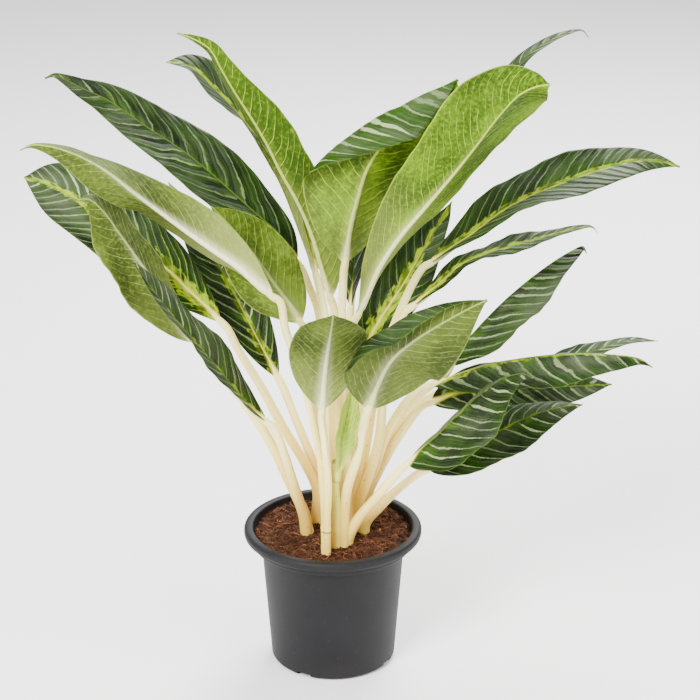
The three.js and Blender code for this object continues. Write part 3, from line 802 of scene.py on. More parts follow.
@dataclass
class Leaf:
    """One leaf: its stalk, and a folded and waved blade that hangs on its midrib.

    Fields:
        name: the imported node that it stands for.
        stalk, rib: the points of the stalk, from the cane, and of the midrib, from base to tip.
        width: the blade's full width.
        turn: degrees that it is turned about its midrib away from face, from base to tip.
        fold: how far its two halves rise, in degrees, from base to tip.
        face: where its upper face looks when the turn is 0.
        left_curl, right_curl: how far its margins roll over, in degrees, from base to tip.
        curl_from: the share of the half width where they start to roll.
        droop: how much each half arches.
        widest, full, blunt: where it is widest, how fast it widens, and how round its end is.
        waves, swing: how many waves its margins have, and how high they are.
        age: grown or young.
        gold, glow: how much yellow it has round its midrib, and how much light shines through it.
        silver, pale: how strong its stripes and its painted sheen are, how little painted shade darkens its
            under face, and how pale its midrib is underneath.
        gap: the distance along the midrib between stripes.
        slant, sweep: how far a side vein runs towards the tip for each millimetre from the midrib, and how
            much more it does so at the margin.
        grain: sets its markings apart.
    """

    name: str
    stalk: Sequence[Point]
    rib: Sequence[Point]
    width: float
    turn: Sequence[float]
    fold: Sequence[float]
    face: Point = (0, -0.93, 0.37)
    left_curl: Sequence[float] = (0, 0)
    right_curl: Sequence[float] = (0, 0)
    curl_from: Sequence[float] = (0.45, 0.45)
    droop: float = 0.1
    widest: float = 0.42
    full: float = 0.72
    blunt: float = 1.25
    waves: float = 2.5
    swing: float = 2.6
    age: Age = Age.GROWN
    gold: float = 0.3
    glow: float = 0.0
    silver: float = 1.0
    pale: float = 0.5
    gap: float = 15.0
    slant: float = 0.7
    sweep: float = 0.8
    grain: float = 0.0

    STATIONS = 128  # rows of points along the blade
    COLUMNS = 35  # points in each row
    CROWDING = 1.25  # how closely they crowd towards the midrib
    SECTION_STEPS = 12  # steps in which a cross-section's slope is added up
    CURL_SPAN = 0.45  # the share of the half width over which a margin rolls
    BASE_WIDTH = 0.06  # the least share of the width at the base
    TIP_WIDTH = 0.035  # and at the tip
    FULL_TIP = 1.05  # how fast the blade narrows to its tip
    SIDES_APART = 0.3  # how far the waves of the two margins stand apart
    RIPPLE, RIPPLE_COUNT, RIPPLE_SHIFT = 0.5, 4.3, 0.4  # finer waves on the waves
    THICK, EDGE_THINNED = 0.55, 0.5  # the blade's thickness, and the share of it lost at the margin
    GROOVE, GROOVE_WIDTH = 0.35, 1.2  # the groove over the midrib
    RIB_DEPTH, RIB_ROOT = 2.4, 2.4  # how deep the midrib is, and how much deeper at its root
    RIB_WIDTHS = (0.7, 2.1, 0.6)  # its half width at the tip, what the base adds, and what the root adds
    RIB_FADE = 24.0  # the length over which the root fades
    RIB_START, RIB_RISE = -4.0, 12.0  # where the midrib grows out of the stalk
    NECK = 9.0  # the last stretch of the stalk, in line with the midrib
    TUCK = 16.0  # how far the stalk runs on under the blade
    UNDER = ((0.8,), (1.6,))  # how deep it lies under it, at the base and at its end

    def outline(self, t: Array) -> Array:
        """The half width at places along the blade, as a share of the widest."""
        rising = np.sin(np.pi / 2 * np.clip(t / self.widest, 0, 1)) ** self.full
        past = np.clip((t - self.widest) / (1 - self.widest), 0, 1)
        falling = np.clip(np.cos(np.pi / 2 * past**self.blunt), 0, 1) ** self.FULL_TIP
        rising, falling = np.maximum(self.BASE_WIDTH, rising), np.maximum(self.TIP_WIDTH, falling)
        return np.where(t < self.widest, rising, falling)

    def section(self, t: Array, v: Array) -> tuple[Array, Array, Array]:
        """The blade's cross-section.

        Args:
            t: places along the blade.
            v: places across it, from -1 to 1.

        Returns:
            How far each point lies across and above the midrib, as shares of the half width, and the slope
            there in radians.
        """
        middles = (np.arange(self.SECTION_STEPS) + 0.5) / self.SECTION_STEPS
        share = np.abs(v)[:, None] * middles
        slope = self._slope(t, np.sign(v)[:, None], share)
        run = np.cos(slope).mean(-1) * v
        rise = np.sin(slope).mean(-1) * np.abs(v)
        return run, rise, self._slope(t, np.sign(v)[:, None], np.abs(v)[:, None])[..., 0]

    def _slope(self, t: Array, side: Array, share: Array) -> Array:
        """The slope of the cross-section, at shares of the half width on a side."""
        lists = (self.fold, self.left_curl, self.right_curl, self.curl_from)
        fold, left, right, start = (spread(values, t)[:, None, None] for values in lists)
        roll = np.where(side > 0, right, left) * ease(start, start + self.CURL_SPAN, share)
        return np.radians(fold + roll) - 2 * self.droop * share

    def frame(self, curve: Curve, t: Array) -> tuple[Array, Array, Array, Array]:
        """Where the blade lies at places along its midrib.

        Args:
            curve: the midrib.
            t: the places.

        Returns:
            The midrib's points, and the directions along it, out of the upper face and across.
        """
        centre, along = curve.read(t)
        front = unit(np.array(self.face) - (along @ np.array(self.face))[:, None] * along)
        turn = np.radians(spread(self.turn, t))[:, None]
        normal = front * np.cos(turn) + np.cross(along, front) * np.sin(turn)
        return centre, along, normal, np.cross(along, normal)

    def build(self, palette: Palette) -> Object:
        """Makes the blade.

        Args:
            palette: the finishes.

        Returns:
            Its object.
        """
        t = np.linspace(0, 1, self.STATIONS)
        u = np.linspace(-1, 1, self.COLUMNS)
        v = np.sign(u) * np.abs(u) ** self.CROWDING
        curve = Curve(self.rib)
        centre, along, normal, side = self.frame(curve, t)
        outline = self.outline(t)[:, None]
        half = outline * self.width / 2
        run, rise, slope = self.section(t, v)
        side_sign, height = np.sign(v)[None], np.sin(np.pi * t)[:, None]
        shift = self.SIDES_APART * side_sign
        wave = self.swing * height * np.sin(2 * np.pi * (self.waves * t[:, None] + shift))
        count = self.waves * self.RIPPLE_COUNT
        turns = count * t[:, None] + self.grain + self.RIPPLE_SHIFT * side_sign
        ripple = self.RIPPLE * np.sin(2 * np.pi * turns)
        lift = half * rise + (wave + ripple * height) * v[None] ** 2 * outline
        surface = centre[:, None] + side[:, None] * (half * run)[..., None]
        surface = surface + normal[:, None] * lift[..., None]
        out = normal[:, None] * np.cos(slope)[..., None]
        out = out - side[:, None] * (np.sin(slope) * side_sign)[..., None]
        across, from_tip = half * np.abs(v)[None], (1 - t)[:, None]
        thick = self.THICK * (1 - self.EDGE_THINNED * np.abs(v)[None])
        root = np.exp(-t * curve.length / self.RIB_FADE)[:, None]
        at_tip, at_base, at_root = self.RIB_WIDTHS
        spine_width = at_tip + at_base * from_tip + at_root * root
        depth = self.RIB_DEPTH * from_tip + self.RIB_ROOT * root
        depth = depth * ease(self.RIB_START, self.RIB_RISE, t * curve.length)[:, None]
        spine = depth * np.exp(-((across / spine_width) ** 2))
        groove = self.GROOVE * from_tip * np.exp(-((across / self.GROOVE_WIDTH) ** 2))
        upper = surface + out * (thick / 2 - groove)[..., None]
        lower = surface - out * (thick / 2 + spine)[..., None]
        return self._skin(palette, curve, t, v, half, upper, lower)

    def _skin(
        self, palette: Palette, curve: Curve, t: Array, v: Array, half: Array, upper: Array, lower: Array
    ) -> Object:
        """Joins the two faces into one closed blade and lays its maps.

        Args:
            palette: the finishes.
            curve: the midrib.
            t, v: the grid's places along and across the blade.
            half: the half width at each station.
            upper, lower: the points of the two faces.

        Returns:
            The blade's object.
        """
        rows, columns = upper.shape[:2]
        count = rows * columns
        top = grid_faces(rows, columns)
        under = grid_faces(rows, columns, count, flip=True)
        rim = np.concatenate(
            [
                np.arange(columns),
                np.arange(1, rows) * columns + columns - 1,
                (rows - 1) * columns + np.arange(columns - 2, -1, -1),
                np.arange(rows - 2, 0, -1) * columns,
            ]
        )
        following = np.roll(rim, -1)
        edge = np.stack([following, rim, rim + count, following + count], -1)
        faces = np.vstack([top, under, edge])
        slots = np.concatenate([np.zeros(len(top)), np.ones(len(under)), np.zeros(len(edge))])
        grid_t, grid_v = (a.ravel() for a in np.meshgrid(t, v, indexing="ij"))
        distance = (half * v[None]).ravel()
        foot = grid_t * curve.length - np.abs(distance) * (self.slant + self.sweep * np.abs(grid_v))
        maps = {
            PLACE: np.stack([grid_t * curve.length, distance], -1),
            SHARE: np.stack([grid_t, grid_v], -1),
            TINT: np.tile([self.gold, self.glow], (count, 1)),
            VEIN: np.stack([foot / self.gap, np.full(count, self.silver)], -1),
            GRAIN: np.tile([self.grain, self.pale], (count, 1)),
        }
        maps = {name: np.vstack([pairs, pairs]) for name, pairs in maps.items()}
        young = self.age is Age.YOUNG
        materials = [palette.young, palette.young] if young else [palette.face, palette.back]
        points = np.vstack([upper.reshape(-1, 3), lower.reshape(-1, 3)]) * MM
        made = make_object(f"{self.name}_blade", points, faces, materials, maps, slots)
        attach(made, "root")
        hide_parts(self.name)
        return made

    def stalk_path(self, rooting: Sequence[Point] = ()) -> Curve:
        """The stalk's middle line, up to the blade.

        Args:
            rooting: points that lead up to its first one.

        Returns:
            The line.
        """
        rib = Curve(self.rib)
        share = np.array([0.0, self.TUCK / rib.length])
        centre, along, normal, _ = self.frame(rib, share)
        neck = centre[0] - along[0] * self.NECK
        under = centre - normal * np.array(self.UNDER)
        return Curve([*rooting, *self.stalk, tuple(neck), *map(tuple, under)])


# ---------------------------------------------------------------- shoots


@dataclass
class Shoot:
    """One leafy shoot: a cane in the coir and the stalks of its leaves.

    Fields:
        name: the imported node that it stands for.
        foot: where the cane stands on the coir.
        head: the cane's top.
        radii: its radius at its foot and at its top.
        leaves: its leaves.
        warmth: how tan its stalks are.
        ring: how far up an old leaf scar rings it, or 0 for none.
        stalk: the radius of its stalks at their foot.
    """

    name: str
    foot: tuple[float, float]
    head: Point
    radii: tuple[float, float]
    leaves: list[Leaf] = field(default_factory=list)
    warmth: float = 0.4
    ring: float = 0.0
    stalk: float = 5.2

    SIDES = 20  # points round a stalk
    STEP, LEAST_RINGS = 3.0, 6  # between its rings of points, and how many it has at least
    TOP_RADIUS = 3.5
    CORE = 0.74  # how thick the cane is here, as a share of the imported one
    POINT, POINT_LENGTH = 0.62, 20.0  # how much thinner a stalk's end is, and over what length
    SOIL = 129.0  # the height of the coir
    COLLAR = 4.0  # where the cane starts to lean, above it
    BURIED = 30.0  # the length of the cane below it
    ROOTED = 8.0  # and of the stalks beside the cane
    WAIST = 20.0  # the least height that a stalk leaves the cane at for a bend below it
    CHANNEL, CHANNEL_WIDTH = 0.16, 0.5  # the channel along a stalk's inner side
    CHANNEL_START = (0.15, 0.5)  # the shares of its length between which it deepens
    WOBBLE, WOBBLE_TURN, WOBBLE_SEED = 0.03, 11, 5  # how uneven its thickness is, and how fast it changes
    SHEATH, SHEATH_LENGTH = 0.2, 34.0  # how much thicker its foot is, and over what length
    SCAR, SCAR_WIDTH = 0.16, 2.2  # the ring that an old leaf has left
    YOUNG_GREEN = 0.8  # how green a young leaf's stalk is
    STALK_SEED = 1.7  # sets the streaks of one stalk apart from the next one's

    def grow(self, name: str, stalk: Sequence[Point], rib: Sequence[Point], **shape: Any) -> None:
        """Adds a leaf.

        Args:
            name, stalk, rib, shape: its fields.
        """
        self.leaves.append(Leaf(name, stalk, rib, **shape))

    def build(self, palette: Palette, seed: float) -> Object:
        """Makes the cane and the stalks as one object.

        Args:
            palette: the finishes.
            seed: sets this shoot's streaks apart.

        Returns:
            Its object.
        """
        soil = self.SOIL
        heights = (soil - self.BURIED, soil - self.BURIED / 2, soil + self.COLLAR)
        path = Curve([*((*self.foot, height) for height in heights), self.head])
        first, last = (radius * self.CORE for radius in self.radii)
        bars = [self._bar(path, first, last, seed, 0.0, self.ring)]
        scar = max(self.ring - self.BURIED + self.ROOTED, 0)
        for number, leaf in enumerate(self.leaves):
            green = self.YOUNG_GREEN if leaf.age is Age.YOUNG else 0.0
            path = leaf.stalk_path(self._rooting(leaf.stalk[0]))
            own_seed = seed + self.STALK_SEED * (number + 1)
            bars.append(self._bar(path, self.stalk, self.TOP_RADIUS, own_seed, green, scar))
        points = np.vstack([bar[0] for bar in bars])
        starts = np.cumsum([0] + [len(bar[0]) for bar in bars[:-1]])
        faces = [face for bar, start in zip(bars, starts) for face in (np.array(bar[1]) + start).tolist()]
        caps = [[i + int(start) for i in cap] for bar, start in zip(bars, starts) for cap in bar[2]]
        maps = {name: np.vstack([bar[3][name] for bar in bars]) for name in bars[0][3]}
        made = make_object(f"{self.name}_stalks", points * MM, faces + caps, [palette.stalk], maps)
        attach(made, "root")
        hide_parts(self.name)
        return made

    def _rooting(self, start: Point) -> list[Point]:
        """Points that lead a stalk down along the cane into the coir.

        Args:
            start: where the stalk leaves the cane.

        Returns:
            The points below it, from the lowest.
        """
        aside = [start[0] - self.head[0], start[1] - self.head[1]]
        foot = (self.foot[0] + aside[0], self.foot[1] + aside[1])
        low = self.SOIL - self.ROOTED
        middle = (low + start[2]) / 2
        waist = ((foot[0] + start[0]) / 2, (foot[1] + start[1]) / 2, middle)
        return [(*foot, low)] + ([waist] if start[2] - low > self.WAIST else [])

    def _bar(
        self, curve: Curve, first: float, last: float, seed: float, green: float, ring: float
    ) -> tuple[Array, Array, list[list[int]], dict[str, Array]]:
        """A tapering round bar with a channel along its inner side.

        Args:
            curve: its middle line.
            first: the radius at its start.
            last: the radius at its end.
            seed: sets its streaks apart.
            green: how green it is.
            ring: how far along it an old leaf scar rings it, or 0 for none.

        Returns:
            Its points, side faces, end faces and maps.
        """
        rows = max(int(curve.length / self.STEP), self.LEAST_RINGS)
        t = np.linspace(0, 1, rows)
        centre, along = curve.read(t)
        right = unit(np.array([1.0, 0, 0]) - along[:, :1] * along)
        up = np.cross(along, right)
        turn = np.linspace(0, 2 * np.pi, self.SIDES, endpoint=False)
        inner = np.exp(-(((turn - np.pi / 2) / self.CHANNEL_WIDTH) ** 2))[None]
        channel = self.CHANNEL * inner * ease(*self.CHANNEL_START, t)[:, None]
        radius = (first + (last - first) * t)[:, None] * (1 - channel)
        run = t * curve.length
        sheath = 0.0 if ring else self.SHEATH
        flare = 1 + self.WOBBLE * np.sin(t * self.WOBBLE_TURN + seed * self.WOBBLE_SEED)
        flare = flare + sheath * np.exp(-((run / self.SHEATH_LENGTH) ** 2))
        flare = flare * (1 - self.POINT * ease(curve.length - self.POINT_LENGTH, curve.length, run))
        if ring:
            flare = flare + self.SCAR * np.exp(-(((run - ring) / self.SCAR_WIDTH) ** 2))
        radius = radius * flare[:, None]
        spokes = right[:, None] * np.cos(turn)[None, :, None] + up[:, None] * np.sin(turn)[None, :, None]
        points = (centre[:, None] + spokes * radius[..., None]).reshape(-1, 3)
        grid_t, grid_turn = (a.ravel() for a in np.meshgrid(t, np.abs(turn / np.pi - 1), indexing="ij"))
        maps = {
            PLACE: np.stack([grid_t * curve.length, grid_turn * last], -1),
            SHARE: np.stack([grid_t, grid_turn], -1),
            TINT: np.tile([self.warmth, green], (len(points), 1)),
            GRAIN: np.tile([seed, ring], (len(points), 1)),
        }
        faces = grid_faces(rows, self.SIDES, wrap=True, flip=False)
        return points, faces, end_faces(rows, self.SIDES), maps


def shoot_left() -> Shoot:
    """The left shoot."""
    shoot = Shoot("shoot_left", foot=(-24, -2), head=(-27, -3, 150), radii=(8, 7), warmth=0.75)
    shoot.grow("leaf_left_low_front", width=48, turn=(60, 68), fold=(28, 20), gold=0.25,
        stalk=[(-27, -4, 146), (-33, -9, 170), (-45, -17, 218)],
        rib=[(-61, -25, 255), (-74, -30, 270), (-88, -38, 291), (-108, -52, 325), (-141, -72, 377),
            (-159, -86, 410), (-171, -96, 433), (-178, -99, 437)])
    shoot.grow("leaf_left_low", width=62, turn=(222, 226), fold=(26, 20), widest=0.48, blunt=1.7, gold=0.2,
        glow=0.1, pale=0.3,
        stalk=[(-27, 2, 146), (-43, 3, 184), (-63, -2, 232), (-92, -11, 282)],
        rib=[(-126, -25, 334), (-138, -31, 356), (-150, -38, 379), (-170, -48, 417), (-186, -57, 447),
            (-200, -64, 472), (-211, -69, 484), (-221, -72, 485)])
    return shoot


def shoot_left_back() -> Shoot:
    """The shoot at the left of the back."""
    shoot = Shoot("shoot_left_back", foot=(-12, 24), head=(-12, 23, 170), radii=(8.5, 7), warmth=0.7)
    shoot.grow("leaf_left_middle", width=62, turn=(8, 2), fold=(18, 8), widest=0.55, blunt=2.6, gold=1.1,
        gap=12,
        stalk=[(-15, 18, 164), (-27, 15, 195), (-46, 12, 231), (-68, 10, 277), (-87, 10, 311)],
        rib=[(-104, 10, 341), (-118, 14, 355), (-133, 18, 368), (-156, 26, 389), (-180, 34, 405),
            (-208, 43, 427), (-236, 52, 446), (-264, 60, 458), (-287, 66, 463)])
    shoot.grow("leaf_left_lower_back", width=48, turn=(8, 8), fold=(24, 16), gold=0.6, gap=14,
        stalk=[(-11, 26, 164), (-22, 28, 198), (-37, 30, 238)],
        rib=[(-52, 32, 276), (-67, 38, 304), (-82, 48, 331), (-97, 59, 358), (-124, 81, 400), (-156, 105, 446)])
    shoot.grow("leaf_left_high", width=60, turn=(30, 28, 18), fold=(20, 16, 8), droop=0.12, widest=0.36,
        blunt=1.16, gold=0, silver=0.65, gap=22, slant=1, sweep=1,
        stalk=[(-10, 24, 166), (-10, 26, 220), (-9, 29, 290), (-13, 34, 341), (-22, 37, 366)],
        rib=[(-33, 38, 390), (-49, 41, 415), (-74, 46, 437), (-132, 56, 487), (-170, 62, 512), (-208, 66, 538),
            (-229, 66, 548), (-245, 65, 557), (-254, 63, 561), (-262, 60, 559)])
    return shoot


def shoot_front() -> Shoot:
    """The front shoot, with the ring of an old leaf on its cane."""
    shoot = Shoot("shoot_front", foot=(-6, -46), head=(-6, -44, 168), radii=(6.2, 6), warmth=0.25, ring=54,
        stalk=3.8)
    shoot.grow("leaf_left_long", width=60, turn=(125, 132, 165, 214, 226), fold=(30, 32, 60, 45, 24),
        widest=0.4, blunt=1.15, gold=0.1, glow=0.12, pale=1, slant=1,
        stalk=[(-7, -42, 164), (-8, -42, 203), (-18, -40, 263), (-29, -38, 311), (-42, -38, 351)],
        rib=[(-53, -40, 384), (-68, -43, 398), (-83, -46, 413), (-107, -53, 433), (-131, -60, 454),
            (-169, -74, 490), (-197, -84, 517), (-229, -96, 537), (-253, -103, 543), (-263, -104, 539)])
    shoot.grow("leaf_left_inner", width=64, turn=(188, 192), fold=(14, 10), droop=0.15, widest=0.4, gold=0.2,
        glow=0.4, pale=0.1,
        stalk=[(-7, -39, 164), (-10, -32, 205), (-14, -25, 270), (-22, -21, 329)],
        rib=[(-29, -12, 348), (-40, -12, 367), (-52, -13, 385), (-74, -14, 419), (-93, -20, 446),
            (-107, -27, 464)])
    shoot.grow("leaf_front", width=69, turn=(0, 0), fold=(12, 4), face=(0, 0.35, 1), widest=0.46, blunt=1.35,
        swing=1.6, gold=0.1, glow=0.15,
        stalk=[(-5, -47, 164), (-4, -49, 203), (-7, -54, 248)],
        rib=[(-9, -54, 279), (-7, -64, 310), (-4, -77, 341), (-1, -96, 367), (1, -118, 388), (2, -140, 403)])
    return shoot


def shoot_centre() -> Shoot:
    """The middle shoot, which holds the crown."""
    shoot = Shoot("shoot_centre", foot=(7, -24), head=(8, -24, 172), radii=(9.5, 8.5), warmth=0.3)
    shoot.grow("leaf_young", width=26, turn=(20, 10), fold=(50, 40), droop=0.05, widest=0.55, age=Age.YOUNG,
        stalk=[(4, -30, 166), (2, -38, 200), (4, -42, 222)],
        rib=[(5, -43, 210), (8, -47, 230), (11, -51, 253), (16, -54, 281), (19, -55, 305)])
    shoot.grow("leaf_front_right", width=90, turn=(190, 194), fold=(20, 14), droop=0.15,
        right_curl=(0, -110, -170, -150, -90), curl_from=(0.8, 0.5, 0.35, 0.4, 0.5), widest=0.36, full=0.6,
        gold=0, pale=0.1, silver=0.5, glow=0.08,
        stalk=[(11, -29, 166), (14, -36, 192), (23, -47, 228), (28, -56, 258)],
        rib=[(33, -76, 289), (41, -88, 317), (52, -102, 345), (70, -122, 371), (94, -138, 394),
            (116, -150, 412), (132, -157, 423)])
    shoot.grow("leaf_top_right", width=88, turn=(232, 226, 210), fold=(24, 34, 30), widest=0.66, blunt=1.7,
        full=1.05, gold=0.2, glow=0.8, pale=0.7, slant=0.9,
        stalk=[(10, -24, 166), (12, -25, 204), (16, -31, 278), (18, -37, 330)],
        rib=[(23, -40, 366), (31, -46, 386), (42, -54, 415), (60, -63, 447), (79, -72, 474), (102, -84, 507),
            (123, -98, 540), (141, -114, 571), (157, -130, 594), (170, -142, 604), (179, -152, 608)])
    shoot.grow("leaf_crown_arched", width=112, turn=(196, 194, 190), fold=(22, 22, 10),
        right_curl=(0, -20, -172, -176, -170), curl_from=(0.8, 0.75, 0.36, 0.05, 0.1), blunt=1.9, gold=0.1,
        glow=0.9, pale=0.25, slant=0.5, sweep=0.4, silver=2.4, gap=16,
        stalk=[(8, -22, 166), (7, -17, 200), (7, -18, 273), (9, -20, 355)],
        rib=[(12, -20, 409), (16, -26, 440), (23, -34, 473), (31, -44, 503), (43, -54, 527), (59, -66, 551),
            (80, -78, 571), (97, -86, 586), (107, -90, 597)])
    shoot.grow("leaf_top_left", width=64, turn=(132, 132, 146), fold=(44, 44, 32), droop=0.08, widest=0.3,
        gold=0.4, glow=0.95, pale=0.25, sweep=0.7, silver=0.1, blunt=1.05,
        stalk=[(5, -20, 166), (3, -14, 200), (1, -12, 252), (2, -12, 331)],
        rib=[(-1, -12, 372), (-10, -13, 405), (-19, -15, 436), (-30, -18, 464), (-46, -22, 496),
            (-57, -25, 521), (-70, -29, 546), (-84, -32, 570), (-95, -35, 591), (-105, -37, 610),
            (-120, -36, 619), (-133, -31, 622)])
    shoot.grow("leaf_right_base_front", width=76, turn=(-52, -54), fold=(-30, -34), droop=0.12, full=0.5,
        gold=0.2, slant=0.5, sweep=0.7, silver=0.9,
        stalk=[(14, -26, 134), (25, -29, 158), (41, -31, 180)],
        rib=[(69, -34, 216), (81, -38, 232), (94, -44, 247), (110, -54, 269), (134, -66, 299), (155, -76, 319),
            (170, -81, 325), (180, -84, 323)])
    return shoot


def shoot_back() -> Shoot:
    """The back shoot."""
    shoot = Shoot("shoot_back", foot=(15, 22), head=(16, 20, 160), radii=(9, 8), warmth=0.5)
    shoot.grow("leaf_top_left_back", width=54, turn=(15, 30, 62, 50), fold=(18, 20, 24, 18),
        left_curl=(150, 130, 0, 0), curl_from=(0.35, 0.35), widest=0.55, blunt=2.2, gold=1, slant=1.1,
        silver=0.5,
        stalk=[(10, 18, 154), (1, 12, 190), (-3, 12, 262), (-5, 16, 330)],
        rib=[(-15, 32, 379), (-23, 38, 411), (-32, 44, 440), (-42, 50, 465), (-58, 54, 490), (-81, 54, 521),
            (-108, 50, 553), (-128, 44, 574), (-149, 36, 580)])
    shoot.grow("leaf_crown_back", width=52, turn=(-60, -40), fold=(18, 10), gold=0,
        stalk=[(15, 26, 154), (12, 31, 190), (12, 33, 260), (14, 34, 310)],
        rib=[(17, 36, 345), (19, 42, 370), (22, 50, 396), (36, 70, 443), (56, 90, 487), (70, 104, 512)])
    shoot.grow("leaf_top_right_back", width=56, turn=(-80, -64), fold=(12, 8), gold=0.1,
        stalk=[(18, 28, 154), (18, 40, 186), (26, 52, 244), (34, 58, 314)],
        rib=[(41, 62, 353), (54, 66, 380), (73, 72, 409), (120, 88, 483), (178, 104, 566), (198, 110, 580),
            (217, 114, 588), (233, 117, 590), (239, 118, 583)])
    shoot.grow("leaf_right_upright", width=50, turn=(-14, -16), fold=(18, 12), gold=1.05, silver=0.5,
        stalk=[(19, 16, 154), (19, 14, 190), (20, 16, 249)],
        rib=[(24, 18, 291), (32, 21, 313), (42, 26, 332), (65, 36, 366), (78, 38, 389), (93, 44, 415),
            (104, 50, 430), (111, 54, 443)])
    shoot.grow("leaf_right_long", width=66, turn=(-64, -52, -24), fold=(26, 20, 8), droop=0.12, blunt=1.15,
        gold=0.75, glow=0.2, gap=13, slant=0.8, sweep=0.5, silver=0.6,
        stalk=[(20, 12, 152), (26, 5, 180), (32, 2, 220), (40, 0, 274), (56, -2, 338)],
        rib=[(90, 0, 402), (107, 0, 415), (126, 1, 428), (162, 6, 454), (207, 14, 473), (244, 22, 484),
            (281, 33, 489), (303, 38, 486), (319, 40, 481)])
    shoot.grow("leaf_right_narrow", width=31, turn=(-62, -60), fold=(15, 12), droop=0.12, gold=0.7, gap=14,
        silver=0.6,
        stalk=[(24, 8, 152), (32, -2, 182), (44, -9, 232), (50, -12, 312), (62, -13, 344)],
        rib=[(73, -14, 365), (95, -14, 384), (120, -13, 406), (156, -9, 419), (192, -3, 427), (221, 2, 434),
            (236, 4, 435), (242, 5, 429)])
    return shoot


def shoot_right_back() -> Shoot:
    """The shoot at the right of the back."""
    shoot = Shoot("shoot_right_back", foot=(24, 50), head=(26, 48, 148), radii=(8, 7), warmth=0.75)
    shoot.grow("leaf_right_middle", width=66, turn=(-57, -70), fold=(-32, -34), droop=0.06, widest=0.38,
        blunt=1.1, gold=0, gap=14, sweep=0.5, silver=1.1,
        stalk=[(28, 50, 144), (38, 50, 170), (58, 44, 214), (82, 34, 256)],
        rib=[(111, 26, 290), (120, 26, 308), (134, 28, 325), (163, 38, 353), (198, 54, 377), (224, 66, 390),
            (237, 73, 393), (241, 76, 385)])
    shoot.grow("leaf_right_low", width=64, turn=(-56, -57), fold=(-32, -32), droop=0.06, gold=0.5, gap=19,
        slant=0.45, sweep=0.6, silver=1.2,
        stalk=[(28, 44, 144), (40, 36, 180), (54, 26, 226), (72, 17, 260)],
        rib=[(92, 14, 276), (120, 11, 289), (156, 8, 301), (212, 5, 310), (258, 2, 311), (286, 1, 307),
            (298, 0, 299)])
    shoot.grow("leaf_right_low_under", width=54, turn=(-24, -24), fold=(12, 8), droop=0.12, full=0.55, gold=0.4,
        gap=16, slant=0.5, sweep=0.6, silver=1.2,
        stalk=[(32, 46, 144), (44, 44, 172), (66, 38, 216)],
        rib=[(95, 40, 247), (117, 39, 256), (140, 39, 261), (188, 41, 263), (231, 44, 262), (267, 48, 262)])
    shoot.grow("leaf_right_low_back", width=34, turn=(-64, -60), fold=(14, 8), droop=0.12, gold=0.2,
        stalk=[(30, 54, 144), (40, 62, 172), (60, 68, 206), (88, 71, 234)],
        rib=[(121, 73, 250), (154, 76, 255), (182, 80, 261), (245, 88, 278), (289, 95, 289), (317, 98, 287)])
    return shoot


def shoot_right() -> Shoot:
    """The right shoot."""
    shoot = Shoot("shoot_right", foot=(27, -2), head=(29, -2, 146), radii=(6.5, 6), warmth=0.4)
    shoot.grow("leaf_right_base", width=56, turn=(-38, -40), fold=(-12, -14), droop=0.12, full=0.55, gold=0.25,
        slant=0.5, sweep=0.7, silver=0.9,
        stalk=[(31, -3, 140), (44, -6, 158), (64, -9, 180)],
        rib=[(90, -14, 202), (110, -15, 214), (134, -14, 228), (175, -10, 249), (208, -6, 260), (234, -4, 263)])
    return shoot


SHOOTS = (
    shoot_left, shoot_left_back, shoot_front, shoot_centre, shoot_back, shoot_right_back, shoot_right
)


# ---------------------------------------------------------------- coir and pot


@dataclass(frozen=True)
class Strand:
    """A kind of strand.

    Fields:
        curl: how strongly it bends, in radians.
        arch: how high it may arch, as a share of its length.
        radii: its least and greatest radius.
    """

    curl: float
    arch: float
    radii: tuple[float, float]


BROWN_STRAND = Strand(curl=0.9, arch=0.14, radii=(0.14, 0.4))
PALE_STRAND = Strand(curl=1.7, arch=0.22, radii=(0.26, 0.46))


